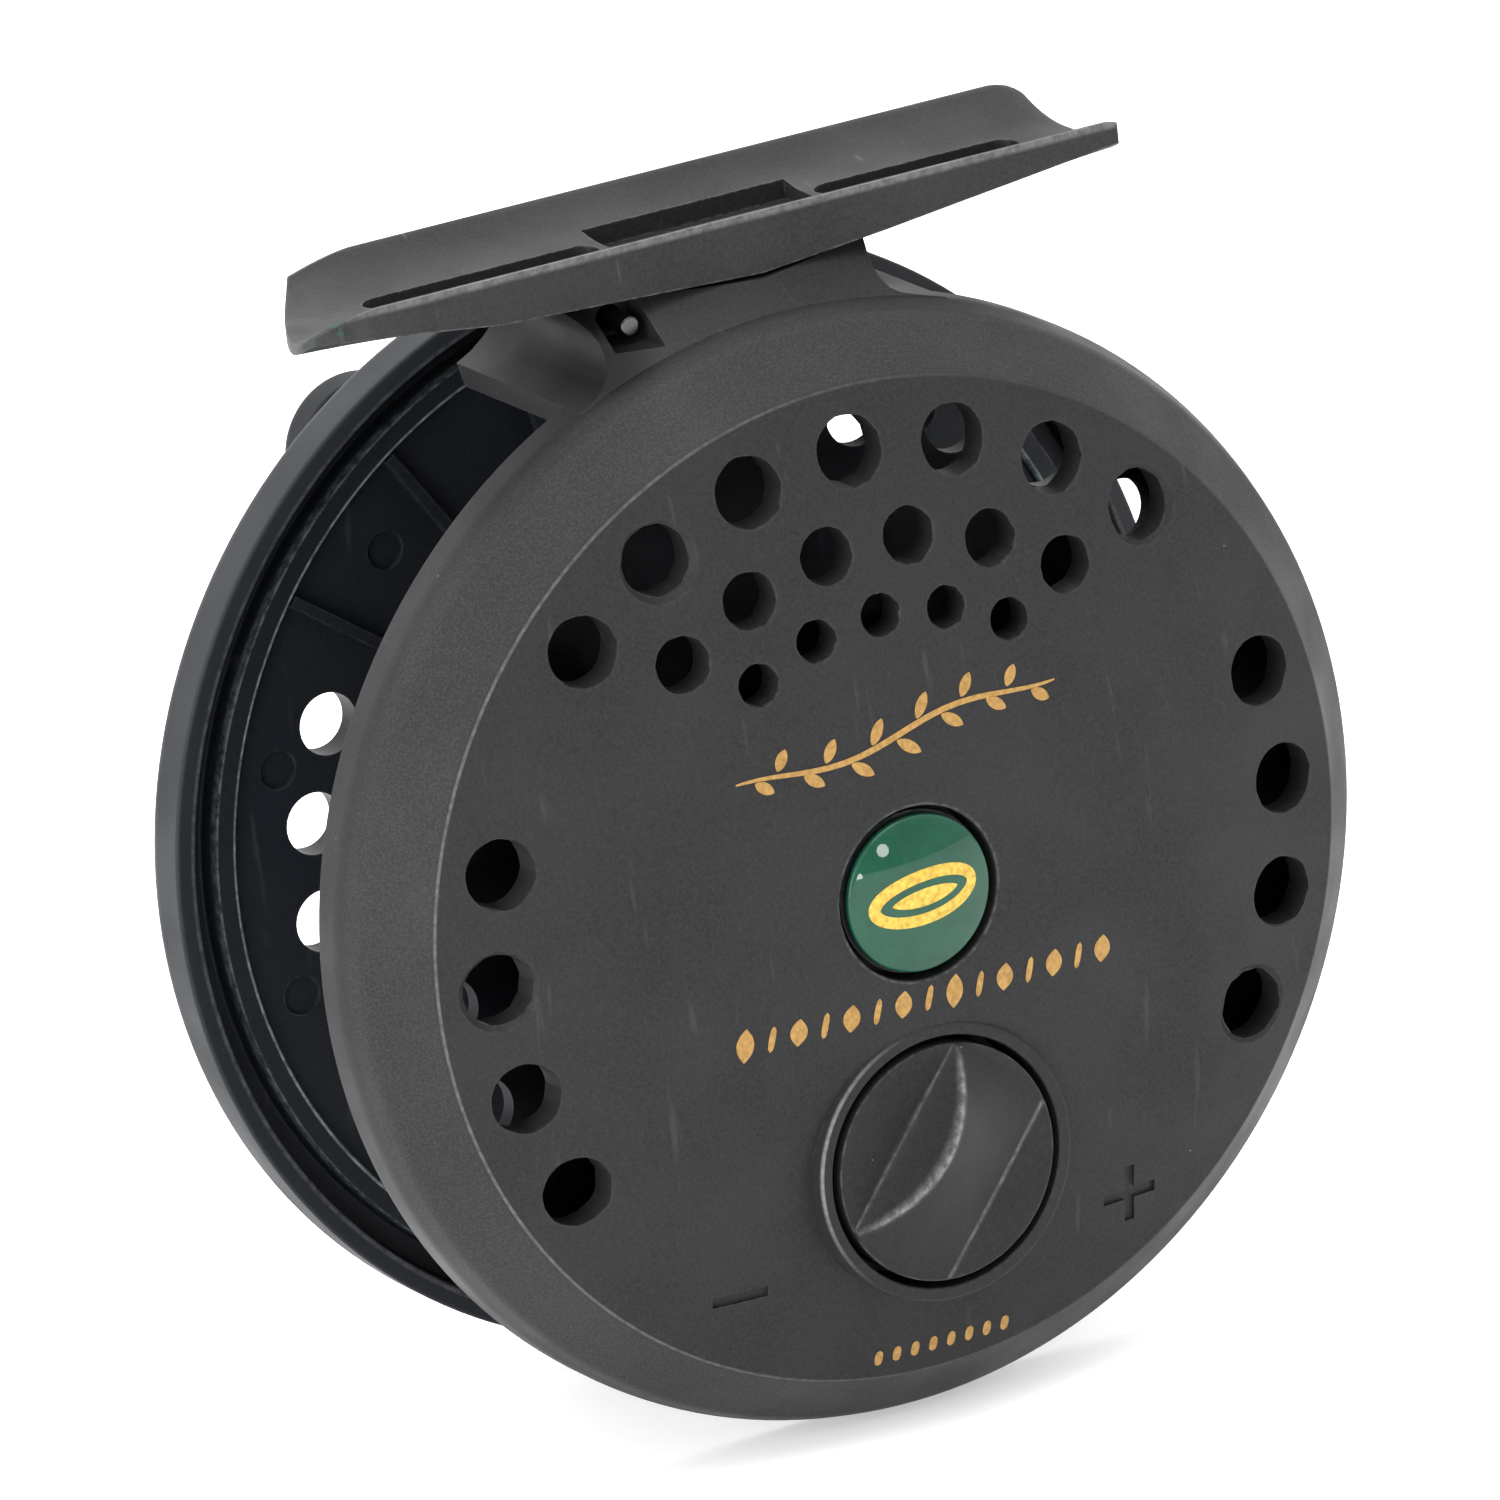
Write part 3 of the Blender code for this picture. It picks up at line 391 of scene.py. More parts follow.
def frame_marks(tree, base, speckle, broken):
    """A coarser, paler chamfer; painted highlights along the face's edge and on the left of the collar; a
    pale broken line round the badge recess; and painted shade in the corner under the foot.
    """
    radius, x, y, z = radius_from(tree), *(reel_space(tree, part) for part in "XYZ")
    chamfer = product(tree, ranged(tree, radius, 35.7, 35.9), ranged(tree, y, 5.9, 5.1))
    coarse = ranged(tree, grain(tree, 6500.0, 2.0, 0.6, shift=3.3), 0.45, 0.62)
    base = blend(tree, calc(tree, "MULTIPLY", chamfer, 0.85), base, (0.019, 0.019, 0.0195, 1.0))
    base = blend(tree, product(tree, chamfer, coarse, 0.45), base, (0.05, 0.05, 0.048, 1.0))
    # Painted highlight: a pale broken line along the face's outer edge, strongest on the left, where the
    # light comes from.
    left_highlight_share = ranged(tree, x, 12.0, -30.0, 0.12, 1.0)
    edge = line_at(tree, radius, 35.62, 0.06)
    edge = product(tree, edge, left_highlight_share, ranged(tree, broken, 0.0, 1.0, 0.45, 1.0))
    base = blend(tree, edge, base, (0.1, 0.1, 0.098, 1.0))
    # Painted highlight: a pale line on the lower left of the knob's collar rim.
    collar = product(tree, line_at(tree, radius_from(tree, KNOB_Z), 9.85, 0.07), ranged(tree, x, -2.0, -9.0))
    collar = product(tree, collar, ranged(tree, z, -27.0, -20.0), ranged(tree, broken, 0.0, 1.0, 0.6, 1.0))
    base = blend(tree, collar, base, (0.17, 0.17, 0.168, 1.0))
    # Painted shade: near-black in the corner under the foot's left end, beside the pedestal.
    painted_shade_under_foot = product(tree, ranged(tree, x, -9.5, -12.0), ranged(tree, z, 36.4, 37.6))
    painted_shade_under_foot = product(tree, painted_shade_under_foot, ranged(tree, y, 4.5, 6.5), 0.9)
    base = blend(tree, painted_shade_under_foot, base, (0.003, 0.003, 0.0032, 1.0))
    recess = product(tree, line_at(tree, radius, 6.35, 0.06), broken, 0.5)
    return blend(tree, recess, base, (0.1, 0.1, 0.1, 1.0))


def spool_marks(tree, base, speckle, broken):
    """Painted light on the rim: its outer band paler towards the top, a painted highlight along its edge, and
    two thin painted highlights inside its channel.
    """
    radius, y, z = radius_from(tree), reel_space(tree, "Y"), reel_space(tree, "Z")
    # Painted light: the rim's outer band is paler, most towards the top and least towards the bottom.
    lit_towards_top = ranged(tree, ranged(tree, z, 25.0, -15.0), 0.0, 1.0, 0.9, 0.1)
    band = product(tree, ranged(tree, radius, 38.3, 38.5), lit_towards_top)
    base = blend(tree, band, base, (0.022, 0.0235, 0.027, 1.0))
    # Painted highlight: a broken pale line along the rim's inner edge.
    edge = product(tree, line_at(tree, radius, 38.65, 0.14), ranged(tree, broken, 0.0, 1.0, 0.25, 1.0), 0.6)
    base = blend(tree, edge, base, (0.09, 0.095, 0.1, 1.0))
    # Painted highlights: two thin pale lines round the ring inside the channel.
    inner = product(tree, ranged(tree, y, 31.3, 31.0), ranged(tree, y, 24.0, 26.0))
    inner_ring_highlight = line_at(tree, radius, 35.05, 0.1)
    inner_ring_highlight = product(tree, inner, inner_ring_highlight, ranged(tree, broken, 0.0, 1.0, 0.35, 1.0))
    base = blend(tree, inner_ring_highlight, base, (0.2, 0.24, 0.24, 1.0))
    outer_ring_highlight = product(tree, inner, line_at(tree, radius, 36.5, 0.06), broken, 0.4)
    return blend(tree, outer_ring_highlight, base, (0.14, 0.16, 0.16, 1.0))


def foot_marks(tree, base, speckle, broken):
    """A painted highlight along the near edge of the foot's top, and the pale, patchy, slightly green end."""
    x, y, z = (reel_space(tree, part) for part in "XYZ")
    # Painted highlight: a broken pale line along the near lip's edge.
    lip = product(tree, line_at(tree, y, FOOT_Y - FOOT_HALF + 0.06, 0.08), ranged(tree, z, 45.9, 46.2))
    lip = product(tree, lip, ranged(tree, broken, 0.0, 1.0, 0.5, 1.0))
    base = blend(tree, lip, base, (0.13, 0.13, 0.126, 1.0))
    patchy = ranged(tree, grain(tree, 420.0, 4.0, 0.7, shift=5.0), 0.35, 0.6)
    end = product(tree, ranged(tree, x, -26.5, -33.0), patchy, 0.7)
    base = blend(tree, end, base, (0.05, 0.052, 0.048, 1.0))
    spots = ranged(tree, grain(tree, 900.0, 3.0, shift=8.0), 0.58, 0.66)
    tip = product(tree, ranged(tree, x, -31.5, -34.0), spots)
    return blend(tree, tip, base, (0.025, 0.08, 0.045, 1.0))


def knob_marks(tree, base, speckle, broken):
    """Painted highlights along the grip's crest, toe and chord lines, where the mesh marks them, broken into
    glints.
    """
    grip_highlight = node(tree, "ShaderNodeAttribute", attribute_name="grip_highlight").outputs["Fac"]
    # The colour of the painted highlights, mottled.
    highlight_colour = blend(tree, broken, (0.1, 0.1, 0.1, 1.0), (0.24, 0.245, 0.24, 1.0))
    return blend(tree, product(tree, grip_highlight, ranged(tree, speckle, 0.2, 0.8, 0.6, 1.0)), base, highlight_colour)


def moulded(name, colour, worn, rough=(0.42, 0.62), wear=0.5, tint=(1.0, 1.0, 1.0), fine=4200.0, depth=1.2e-5,
            marks=None):
    """Filled graphite as moulded: fine grain, soft clouding, scuffs, dust and paler corners."""
    made, tree, shader = new_finish(name, Specular_IOR_Level=0.17)
    speckle = grain(tree, fine, 3.0, 0.6)
    clouds = grain(tree, 120.0, 3.0, 0.5, shift=0.4)
    base = blend(tree, ranged(tree, speckle, 0.3, 0.7), shade(colour, 0.72), shade(colour, 1.35))
    tinted = shade([part * share for part, share in zip(colour, tint)], 1.3)
    base = blend(tree, ranged(tree, clouds, 0.35, 0.65, 0.0, 0.3), base, tinted)
    scuffs = ranged(tree, grain(tree, 900.0, 2.0, 0.5, (1.0, 0.3, 0.12), 2.1), 0.68, 0.76, 0.0, 0.25)
    base = blend(tree, scuffs, base, shade(worn, 0.8))
    broken = ranged(tree, grain(tree, 1500.0, 3.0, 0.65, shift=1.3), 0.38, 0.62)
    corner = calc(tree, "MULTIPLY", calc(tree, "MULTIPLY", edge_mask(tree, 0.22), broken), wear)
    base = blend(tree, corner, base, shade(worn, 1.0))
    base = blend(tree, specks(tree, 520.0, 0.035, 0.05), base, (0.22, 0.22, 0.22, 1.0))
    if marks:
        base = marks(tree, base, speckle, broken)
    tree.links.new(base, shader.inputs["Base Color"])
    tree.links.new(ranged(tree, clouds, 0.3, 0.7, rough[1], rough[0]), shader.inputs["Roughness"])
    bump(tree, shader, speckle, depth)
    return made


def metal(name, colour, rough=(0.2, 0.38), stretch=(1.0, 40.0, 1.0)):
    """Turned or drawn metal with fine tool marks and a little tarnish."""
    made, tree, shader = new_finish(name, metallic=1.0)
    marks = grain(tree, 260.0, 4.0, 0.6, stretch)
    tarnish = grain(tree, 350.0, 3.0, 0.6, shift=0.7)
    base = blend(tree, ranged(tree, tarnish, 0.4, 0.75, 0.0, 0.7), shade(colour, 1.05), shade(colour, 0.55))
    tree.links.new(base, shader.inputs["Base Color"])
    tree.links.new(ranged(tree, marks, 0.3, 0.7, *rough), shader.inputs["Roughness"])
    bump(tree, shader, marks, 6e-6)
    return made


def resin_badge():
    """Green enamel under a clear dome."""
    gloss = {"Coat_Weight": 0.5, "Coat_Roughness": 0.02, "Roughness": 0.35, "Specular_IOR_Level": 0.1}
    made, tree, shader = new_finish("badge_green", **gloss)
    clouds = grain(tree, 500.0, 3.0, 0.6)
    base = blend(tree, ranged(tree, clouds, 0.3, 0.7), (0.006, 0.053, 0.029, 1.0), (0.009, 0.073, 0.041, 1.0))
    base = blend(tree, specks(tree, 1500.0, 0.06, 0.05), base, (0.03, 0.11, 0.075, 1.0))
    tree.links.new(base, shader.inputs["Base Color"])
    bump(tree, shader, grain(tree, 300.0, 1.0), 2e-6)
    return made


def gold_ink(name, dull, rich):
    """Printed gold with an uneven, slightly grainy coat."""
    made, tree, shader = new_finish(name, metallic=0.2)
    uneven = grain(tree, 2600.0, 3.0, 0.6)
    base = blend(tree, ranged(tree, uneven, 0.3, 0.7), dull, rich)
    tree.links.new(base, shader.inputs["Base Color"])
    tree.links.new(ranged(tree, uneven, 0.3, 0.7, 0.6, 0.4), shader.inputs["Roughness"])
    bump(tree, shader, uneven, 8e-6)
    return made


def cork():
    made, tree, shader = new_finish("cork", Roughness=0.85)
    cells = grain(tree, 1400.0, 4.0, 0.7)
    base = blend(tree, ranged(tree, cells, 0.35, 0.65), (0.16, 0.08, 0.035, 1.0), (0.5, 0.31, 0.16, 1.0))
    tree.links.new(base, shader.inputs["Base Color"])
    bump(tree, shader, cells, 6e-5)
    return made


def acetal():
    made, tree, shader = new_finish("acetal", Subsurface_Weight=0.1, Subsurface_Scale=0.001)
    clouds = grain(tree, 600.0, 3.0, 0.6)
    base = blend(tree, ranged(tree, clouds, 0.3, 0.7), (0.66, 0.65, 0.6, 1.0), (0.8, 0.79, 0.75, 1.0))
    tree.links.new(base, shader.inputs["Base Color"])
    tree.links.new(ranged(tree, clouds, 0.3, 0.7, 0.38, 0.5), shader.inputs["Roughness"])
    bump(tree, shader, clouds, 6e-6)
    return made


def make_finishes():
    graphite, worn = (0.0175, 0.0175, 0.0187), (0.09, 0.09, 0.088)
    return {
        "graphite": moulded("graphite", graphite, worn, wear=0.25, marks=frame_marks),
        "graphite_rim": moulded("graphite_rim", (0.028, 0.028, 0.028), (0.16, 0.16, 0.155), wear=0.6,
                                fine=6000.0),
        "hole_wall": moulded("hole_wall", (0.006, 0.006, 0.007), worn, rough=(0.5, 0.7), wear=0.0),
        "foot_graphite": moulded("foot_graphite", (0.021, 0.021, 0.0218), (0.2, 0.205, 0.195), wear=0.55,
                                 depth=1.6e-5, marks=foot_marks),
        "knob_graphite": moulded("knob_graphite", (0.0155, 0.0155, 0.0165), (0.16, 0.16, 0.16), wear=0.6,
                                 marks=knob_marks),
        "graphite_dark": moulded("graphite_dark", (0.01, 0.0113, 0.0135), (0.07, 0.075, 0.08), (0.4, 0.6),
                                 0.5, (0.9, 1.0, 1.35), marks=spool_marks),
        "handle_black": moulded("handle_black", (0.012, 0.012, 0.013), (0.09, 0.09, 0.09), (0.25, 0.42), 0.4,
                                depth=5e-6),
        "steel": metal("steel", (0.52, 0.52, 0.53)),
        "pin_steel": metal("pin_steel", (0.09, 0.09, 0.095), (0.22, 0.4)),
        "spring_steel": metal("spring_steel", (0.4, 0.4, 0.42), (0.25, 0.42), (8.0, 8.0, 1.0)),
        "brass": metal("brass", (0.6, 0.42, 0.17), (0.25, 0.42)),
        "acetal": acetal(),
        "cork": cork(),
        "badge_green": resin_badge(),
        "gold_ink": gold_ink("gold_ink", (0.26, 0.14, 0.03, 1.0), (0.42, 0.24, 0.06, 1.0)),
        "badge_gold": gold_ink("badge_gold", (0.42, 0.24, 0.025, 1.0), (0.68, 0.5, 0.075, 1.0)),
    }


FINISH = make_finishes()


# ---------------------------------------------------------------- frame

def pedestal():
    """The block that joins the frame to the foot and bridges the spool."""
    top = [(x, foot_bottom(x) - 0.3) for x in (-14.7, -10.0, -5.0, 0.0, 5.0, 9.1)]
    left = [(-16.6, 36.4), (-15.4, 37.0), (-14.4, 37.75), (-13.7, 38.4), (-13.3, 39.1), (-13.1, 40.0),
            (-13.2, 40.7), (-13.6, 41.3)]
    right = [(8.5, 41.4), (8.3, 40.7), (8.3, 40.1), (8.6, 39.5), (9.2, 39.1), (10.2, 38.75), (12.6, 38.0)]
    body = prism("pedestal", left + top + right + [(12.1, 34.0), (-16.0, 34.0)], CHAMFER_DEPTH - 0.6, 24.1)
    slope = (FRAME_EDGE_Y + 0.1 - CHAMFER_DEPTH) / 2.0
    cone = [(0.0, CHAMFER_DEPTH), (FRAME_R, CHAMFER_DEPTH), (FRAME_R + 4.0, CHAMFER_DEPTH + 4.0 * slope)]
    near = lathe("pedestal_face", cone + [(FRAME_R + 4.0, 30.0), (0.0, 30.0)], turn=0.7)
    combine(body, "INTERSECT", near)
    combine(body, "DIFFERENCE", rod("bridge_underside", 38.2, 0.0, 30.0, steps=STEPS))
    soften(body, 0.18)
    return body


def frame_profile():
    outside = [(RECESS_R, RECESS_Y, 0.0), (RECESS_R, dome(RECESS_R), 0.2)]
    outside += [(radius, dome(radius), 0.0) for radius in [7.0 + 1.1 * step for step in range(26)]]
    outside += [(FACE_R, -0.02, 0.14), (39.3, 3.95, 0.5)]
    outside += [(FRAME_R, CHAMFER_DEPTH, 0.6), (FRAME_R, FRAME_EDGE_Y, 0.2)]
    inside = [(FRAME_BORE_R, FRAME_EDGE_Y, 0.2), (FRAME_BORE_R, 6.6, 0.5), (34.8, 2.4, 1.5)]
    inside += [(radius, dome(radius) + SHELL, 0.0) for radius in (30.0, 26.0, 22.0, 18.0, 14.0, 10.5)]
    inside += [(BOSS_R, dome(BOSS_R) + SHELL, 0.5), (BOSS_R, BOSS_Y, 0.2), (STUB_BORE_R, BOSS_Y, 0.2)]
    return eased([(STUB_BORE_R, RECESS_Y, 0.0)] + outside + inside)


def face_holes():
    """Through holes with slightly ragged walls, and the countersinks at their mouths."""
    chance = random.Random(11)
    holes, mouths = bmesh.new(), bmesh.new()
    for circle, radius, first, last in HOLE_ROWS:
        for number in range(round((last - first) / HOLE_PITCH) + 1):
            angle = first + number * HOLE_PITCH
            x, z = polar(circle, angle)
            frustum(holes, (x, -7.7, z), (x, 8.3, z), radius, radius, 26, 0.07, chance, 2)
            slope = 2.0 * DOME_HEIGHT * circle / FACE_R ** 2
            lean_x, lean_z = polar(slope, angle)
            out = Vector((lean_x, -1.0, lean_z)).normalized()
            rough = circle > 30.0 and angle % 360.0 in ROUGH_HOLES
            width = 0.42 if rough else 0.1
            drift = polar(0.16, chance.uniform(0.0, 360.0)) if rough else (0.0, 0.0)
            mouth = Vector((x + drift[0], dome(circle), z + drift[1]))
            ragged = 0.07 if rough else 0.03
            wide, narrow = radius + width + 0.4, radius + width - 0.45
            frustum(mouths, mouth + out * 0.4, mouth - out * 0.45, wide, narrow, 37, ragged, chance, 1)
    return solid("holes", holes), solid("mouths", mouths)


def build_frame():
    """The dished plate with its pedestal, collar, rails and bosses, and the cuts for knob, pins and holes."""
    shell = lathe("frame_shell", frame_profile())
    base_r = COLLAR_R + 0.15
    collar = eased([(0.0, COLLAR_INNER_Y, 0.0), (base_r, COLLAR_INNER_Y, 0.0), (base_r, -3.0, 0.0),
                    (COLLAR_R, COLLAR_Y, 0.22), (0.0, COLLAR_Y, 0.0)])
    combine(shell, "UNION", pedestal(), lathe("collar", collar, 120, (0.0, 0.0, KNOB_Z)))
    for x in (-8.6, 7.0):
        combine(shell, "UNION", block("rail", (x, x + 1.6), (-0.6, 6.6), (-26.0, -15.5)))
    combine(shell, "UNION", rod("pawl_boss", 3.2, -2.0, 3.1, PAWL_POINT, 40))
    lug_xs, lug_zs = ((middle - 1.2, middle + 1.2) for middle in SPRING_LUG)
    combine(shell, "UNION", block("lug", lug_xs, (-1.5, 3.6), lug_zs))
    tools = [rod("boss_hole", 1.8, 0.3, 4.0, PAWL_POINT, 24), rod("lug_hole", 0.55, 1.5, 4.0, SPRING_LUG, 16)]
    well = eased([(0.0, -8.0, 0.0), (WELL_R + 3.9, -8.0, 0.0), (WELL_R, COLLAR_Y + 0.1, 0.0),
                  (WELL_R, WELL_Y, 0.0), (0.0, WELL_Y, 0.0)])
    tools += [lathe("knob_well", well, 120, (0.0, 0.0, KNOB_Z), turn=1.5)]
    tools += [rod("shaft_hole", 2.7, 0.0, 4.2, (0.0, KNOB_Z), 40), *face_holes()]
    tools += [block("tongue_socket", (TONGUE[0] - 0.3, TONGUE[1] + 0.3), (12.5, 20.5), (39.2, 44.0))]
    tools += [rod("pin_hole", 1.0, low - 0.8, high + 2.0, (x, PIN_Z), 24) for x, low, high in PINS]
    tools += [block("pin_notch", (-12.5, -9.2), (2.0, 12.2), (39.4, 44.0))]
    tools += [engraving([(13.5, -26.7, 0.42), (15.7, -26.7, 0.42), (17.9, -26.7, 0.42)]),
              engraving([(15.7, -24.6, 0.42), (15.7, -26.7, 0.42), (15.7, -28.8, 0.42)]),
              engraving([(-17.7, -26.3, 0.4), (-15.6, -26.3, 0.4), (-13.5, -26.3, 0.4)])]
    combine(shell, "DIFFERENCE", *tools)
    show(settle(shell, "graphite", "graphite_rim", "hole_wall"), "frame", "graphite", "frame")


def engraving(stroke):
    """A cutter that sinks a plain stroke into the domed face."""
    bm = bmesh.new()
    ribbon(bm, stroke, face_y, 1.0, 0.28)
    return solid("engraving", bm)


def foot_bottom(x):
    for (x0, z0), (x1, z1) in zip(FOOT_SIDE_BOTTOM, FOOT_SIDE_BOTTOM[1:]):
        if x <= x1:
            return z0 + (z1 - z0) * (x - x0) / (x1 - x0)
    return FOOT_SIDE_BOTTOM[-1][1]


def build_foot():
    """The foot as a fine grid: hollow saddle above, tapering keel below, one end worn round."""
    bm = bmesh.new()
    bmesh.ops.create_grid(bm, x_segments=130, y_segments=44, size=0.5)
    raised = bmesh.ops.extrude_face_region(bm, geom=bm.faces[:])["geom"]
    upper = {item for item in raised if isinstance(item, bmesh.types.BMVert)}
    reach = FOOT_HALF - LIP_FLAT
    saddle_r = (reach ** 2 + (LIP_Z - SADDLE_Z) ** 2) / (2 * (LIP_Z - SADDLE_Z))
    for vert in bm.verts:
        along, across = vert.co.x + 0.5, vert.co.y * 2.0
        left = FOOT_LEFT + 6.5 * max(0.0, (across + 1.0) / 2.0) ** 1.6 + 0.5 * max(0.0, -across - 0.85) / 0.15
        right = FOOT_RIGHT - 1.2 * max(0.0, (abs(across) - 0.8) / 0.2) ** 2 * (1.0 if across > 0 else 0.35)
        x = left + (right - left) * along
        y = FOOT_HALF * across
        ramp = max(0.0, (left + 5.0 - x) / 5.0) ** 1.5 + 0.25 * max(0.0, (x - right + 0.8) / 0.8)
        if vert in upper:
            z = SADDLE_Z + saddle_r - math.sqrt(saddle_r ** 2 - min(abs(y), reach) ** 2)
            z -= ramp * min(1.0, abs(across) * 1.2)
        else:
            edge = foot_bottom(x)
            z = edge - (edge - min(edge, SADDLE_Z - FOOT_SKIN)) * (1.0 - abs(across) ** 2.2)
        vert.co = Vector((x, FOOT_Y + y, z)) * MM
    foot = solid("foot_body", bm)
    combine(foot, "UNION", block("tongue", TONGUE, (12.8, 20.2), (39.5, 43.2)))
    tools = [block("foot_pocket", (-8.0, 8.2), (FOOT_Y - 3.4, FOOT_Y + 3.4), (43.4, 48.0))]
    for low, high in ((-27.0, -8.6), (8.8, 25.0)):
        ends = arc(1.3, 90.0, 270.0, 16, (low + 1.3, 0.0)) + arc(1.3, -90.0, 90.0, 16, (high - 1.3, 0.0))
        slot = prism("foot_groove", ends, 0.0, 4.0)
        slot.rotation_euler = (math.radians(-90), 0.0, 0.0)
        slot.location = AXIS + Vector((0.0, FOOT_Y, SADDLE_Z - 0.7 + 4.0)) * MM
        tools.append(slot)
    tools += [rod("tongue_hole", 1.0, 11.0, 22.0, (x, PIN_Z), 24) for x, _, _ in PINS]
    combine(foot, "DIFFERENCE", *tools)
    soften(foot, 0.12)
    show(settle(foot, "foot_graphite"), "frame", "graphite", "reel_foot")
    for number, (x, low, high) in enumerate(PINS):
        corners = [(0.0, low, 0.0), (0.7, low, 0.15), (0.7, high, 0.15), (0.0, high, 0.0)]
        pin = lathe("cross_pin_%d" % (number + 1), eased(corners), 36, (x, 0.0, PIN_Z))
        show(settle(pin, "pin_steel"), "frame", "steel", "foot_pin_%d" % (number + 1))


# ---------------------------------------------------------------- badge and marks

def ribbon(bm, stroke, surface, proud, sunk=0.05):
    """A closed strip along (x, z, half width) points, laid on a surface."""
    rows = []
    for number, (x, z, half) in enumerate(stroke):
        ahead, behind = stroke[min(number + 1, len(stroke) - 1)], stroke[max(number - 1, 0)]
        run = Vector((ahead[0] - behind[0], ahead[1] - behind[1])).normalized()
        row = []
        for side, lift in ((-1.0, -proud), (1.0, -proud), (1.0, sunk), (-1.0, sunk)):
            px, pz = x - run.y * side * half, z + run.x * side * half
            row.append(bm.verts.new(Vector((px, surface(px, pz) + lift, pz)) * MM))
        rows.append(row)
    for a, b in zip(rows, rows[1:]):
        for n in range(4):
            m = (n + 1) % 4
            bm.faces.new((a[n], a[m], b[m], b[n]))
    bm.faces.new(rows[0])
    bm.faces.new(rows[-1])


def inlay(name, strokes, surface, finish, slot, proud=0.035):
    """Strokes as one thin raised piece of the frame."""
    bm = bmesh.new()
    for stroke in strokes:
        ribbon(bm, stroke, surface, proud)
    return show(settle(solid(name, bm), finish), "frame", slot)


def tapered(start, end, half, steps=12, blunt=0.5):
    """A straight stroke that swells to its half width between its ends."""
    points = []
    for step in range(steps + 1):
        t = step / steps
        swell = (1.0 - abs(2.0 * t - 1.0) ** 2.0) ** blunt
        x, z = (a + (b - a) * t for a, b in zip(start, end))
        points.append((x, z, half * max(0.06, swell)))
    return points


def stem(x):
    return 11.5 + 0.1 * x + 0.55 * math.sin(0.36 * x)


def flourish():
    """A sprig: a thin waving stem with slanting leaves above and below it in turn."""
    steps = 80
    strokes = [[]]
    for step in range(steps + 1):
        x = -12.8 + 25.6 * step / steps
        strokes[0].append((x, stem(x), 0.05 + 0.17 * math.sin(math.pi * step / steps) ** 0.5))
    for number in range(13):
        x = -11.6 + 1.85 * number
        long = 2.5 - 0.09 * abs(number - 6)
        lean = math.radians(62.0 if number % 2 else -38.0)
        tip = (x + long * math.cos(lean), stem(x) + long * math.sin(lean) * 0.95)
        base = (x + 0.28 * math.cos(lean), stem(x) + 0.4 * math.sin(lean))
        strokes.append(tapered(base, tip, 0.42, 16, 0.75))
    return strokes


def lozenge_row():
    """Fifteen plain strokes under the badge, lozenges and short dashes in turn."""
    strokes = []
    for number in range(15):
        x = -14.3 + 2.04 * number
        tall = 1.2 if number in (0, 8) else 0.95
        z = -7.75 + 0.12 * math.cos(math.radians(6.0 * x))
        if number % 2:
            strokes.append(tapered((x - 0.25, z - 0.9), (x + 0.25, z + 0.9), 0.24, 10, 0.3))
        else:
            strokes.append(tapered((x - 0.2, z - tall), (x + 0.2, z + tall), 0.66, 14, 0.9))
    return strokes


def build_badge():
    """The clear dome, and a plain band and lozenge on it."""
    ball_r = (BADGE_R ** 2 + BADGE_RISE ** 2) / (2.0 * BADGE_RISE)
    crown = []
    for step in range(24):
        radius = BADGE_R * (1.0 - step / 24)
        crown.append((radius, badge_y(radius, ball_r), 0.12 if step == 0 else 0.0))
    corners = [(0.0, -3.7, 0.0), (5.5, -3.7, 0.0), (5.6, -3.85, 0.0), (5.6, -4.15, 0.1)]
    corners += crown + [(0.0, BADGE_TOP_Y, 0.0)]
    show(settle(lathe("badge_dome", eased(corners), 128), "badge_green"), "frame", "badge_green", "badge")
    band = []
    for step in range(49):
        angle = math.tau * 1.004 * step / 48
        band.append((3.9 * math.cos(angle), 0.3 * math.cos(angle) + 1.55 * math.sin(angle), 0.42))
    gem = tapered((-2.6, -0.2), (2.6, 0.2), 0.62, 24, 0.7)
    surface = lambda x, z: badge_y(math.hypot(x, z), ball_r)
    inlay("badge_band", [band, gem], surface, "badge_gold", "brass", 0.02)


def badge_y(radius, ball_r):
    return BADGE_TOP_Y + ball_r - math.sqrt(ball_r ** 2 - radius ** 2)


def build_marks():
    inlay("face_flourish", flourish(), face_y, "gold_ink", "brass")
    inlay("face_lozenges", lozenge_row(), face_y, "gold_ink", "brass")
    dashes = [tapered((-5.1 + 1.45 * n, -34.3), (-4.9 + 1.45 * n, -33.2), 0.32, 10, 0.35) for n in range(8)]
    inlay("face_dashes", dashes, face_y, "gold_ink", "brass")


# ---------------------------------------------------------------- drag knob

def grip_crest(v):
    """Where the crest of the knob's half-moon grip lies, and how high it would be if it were sharp."""
    share = max(0.0, 1.0 - (v / GRIP_HALF) ** 2)
    return GRIP_CHORD - (GRIP_CHORD - GRIP_CREST) * share ** 0.8, GRIP_HEIGHT * share ** 1.15


def grip_height(u, v):
    """Height of the grip over the knob's face: a straight ramp, a rounded crest and a hollow steep side."""
    crest, tall = grip_crest(v)
    if u <= -GRIP_TOE or u >= GRIP_CHORD:
        return 0.0
    ramp = tall * (u + GRIP_TOE) / (crest + GRIP_TOE)
    wall = tall * ((GRIP_CHORD - u) / max(1e-3, GRIP_CHORD - crest)) ** 1.35
    close = max(0.0, 0.5 - abs(ramp - wall)) / 0.5
    return max(0.0, min(ramp, wall) - close * close * 0.125 * min(1.0, tall))


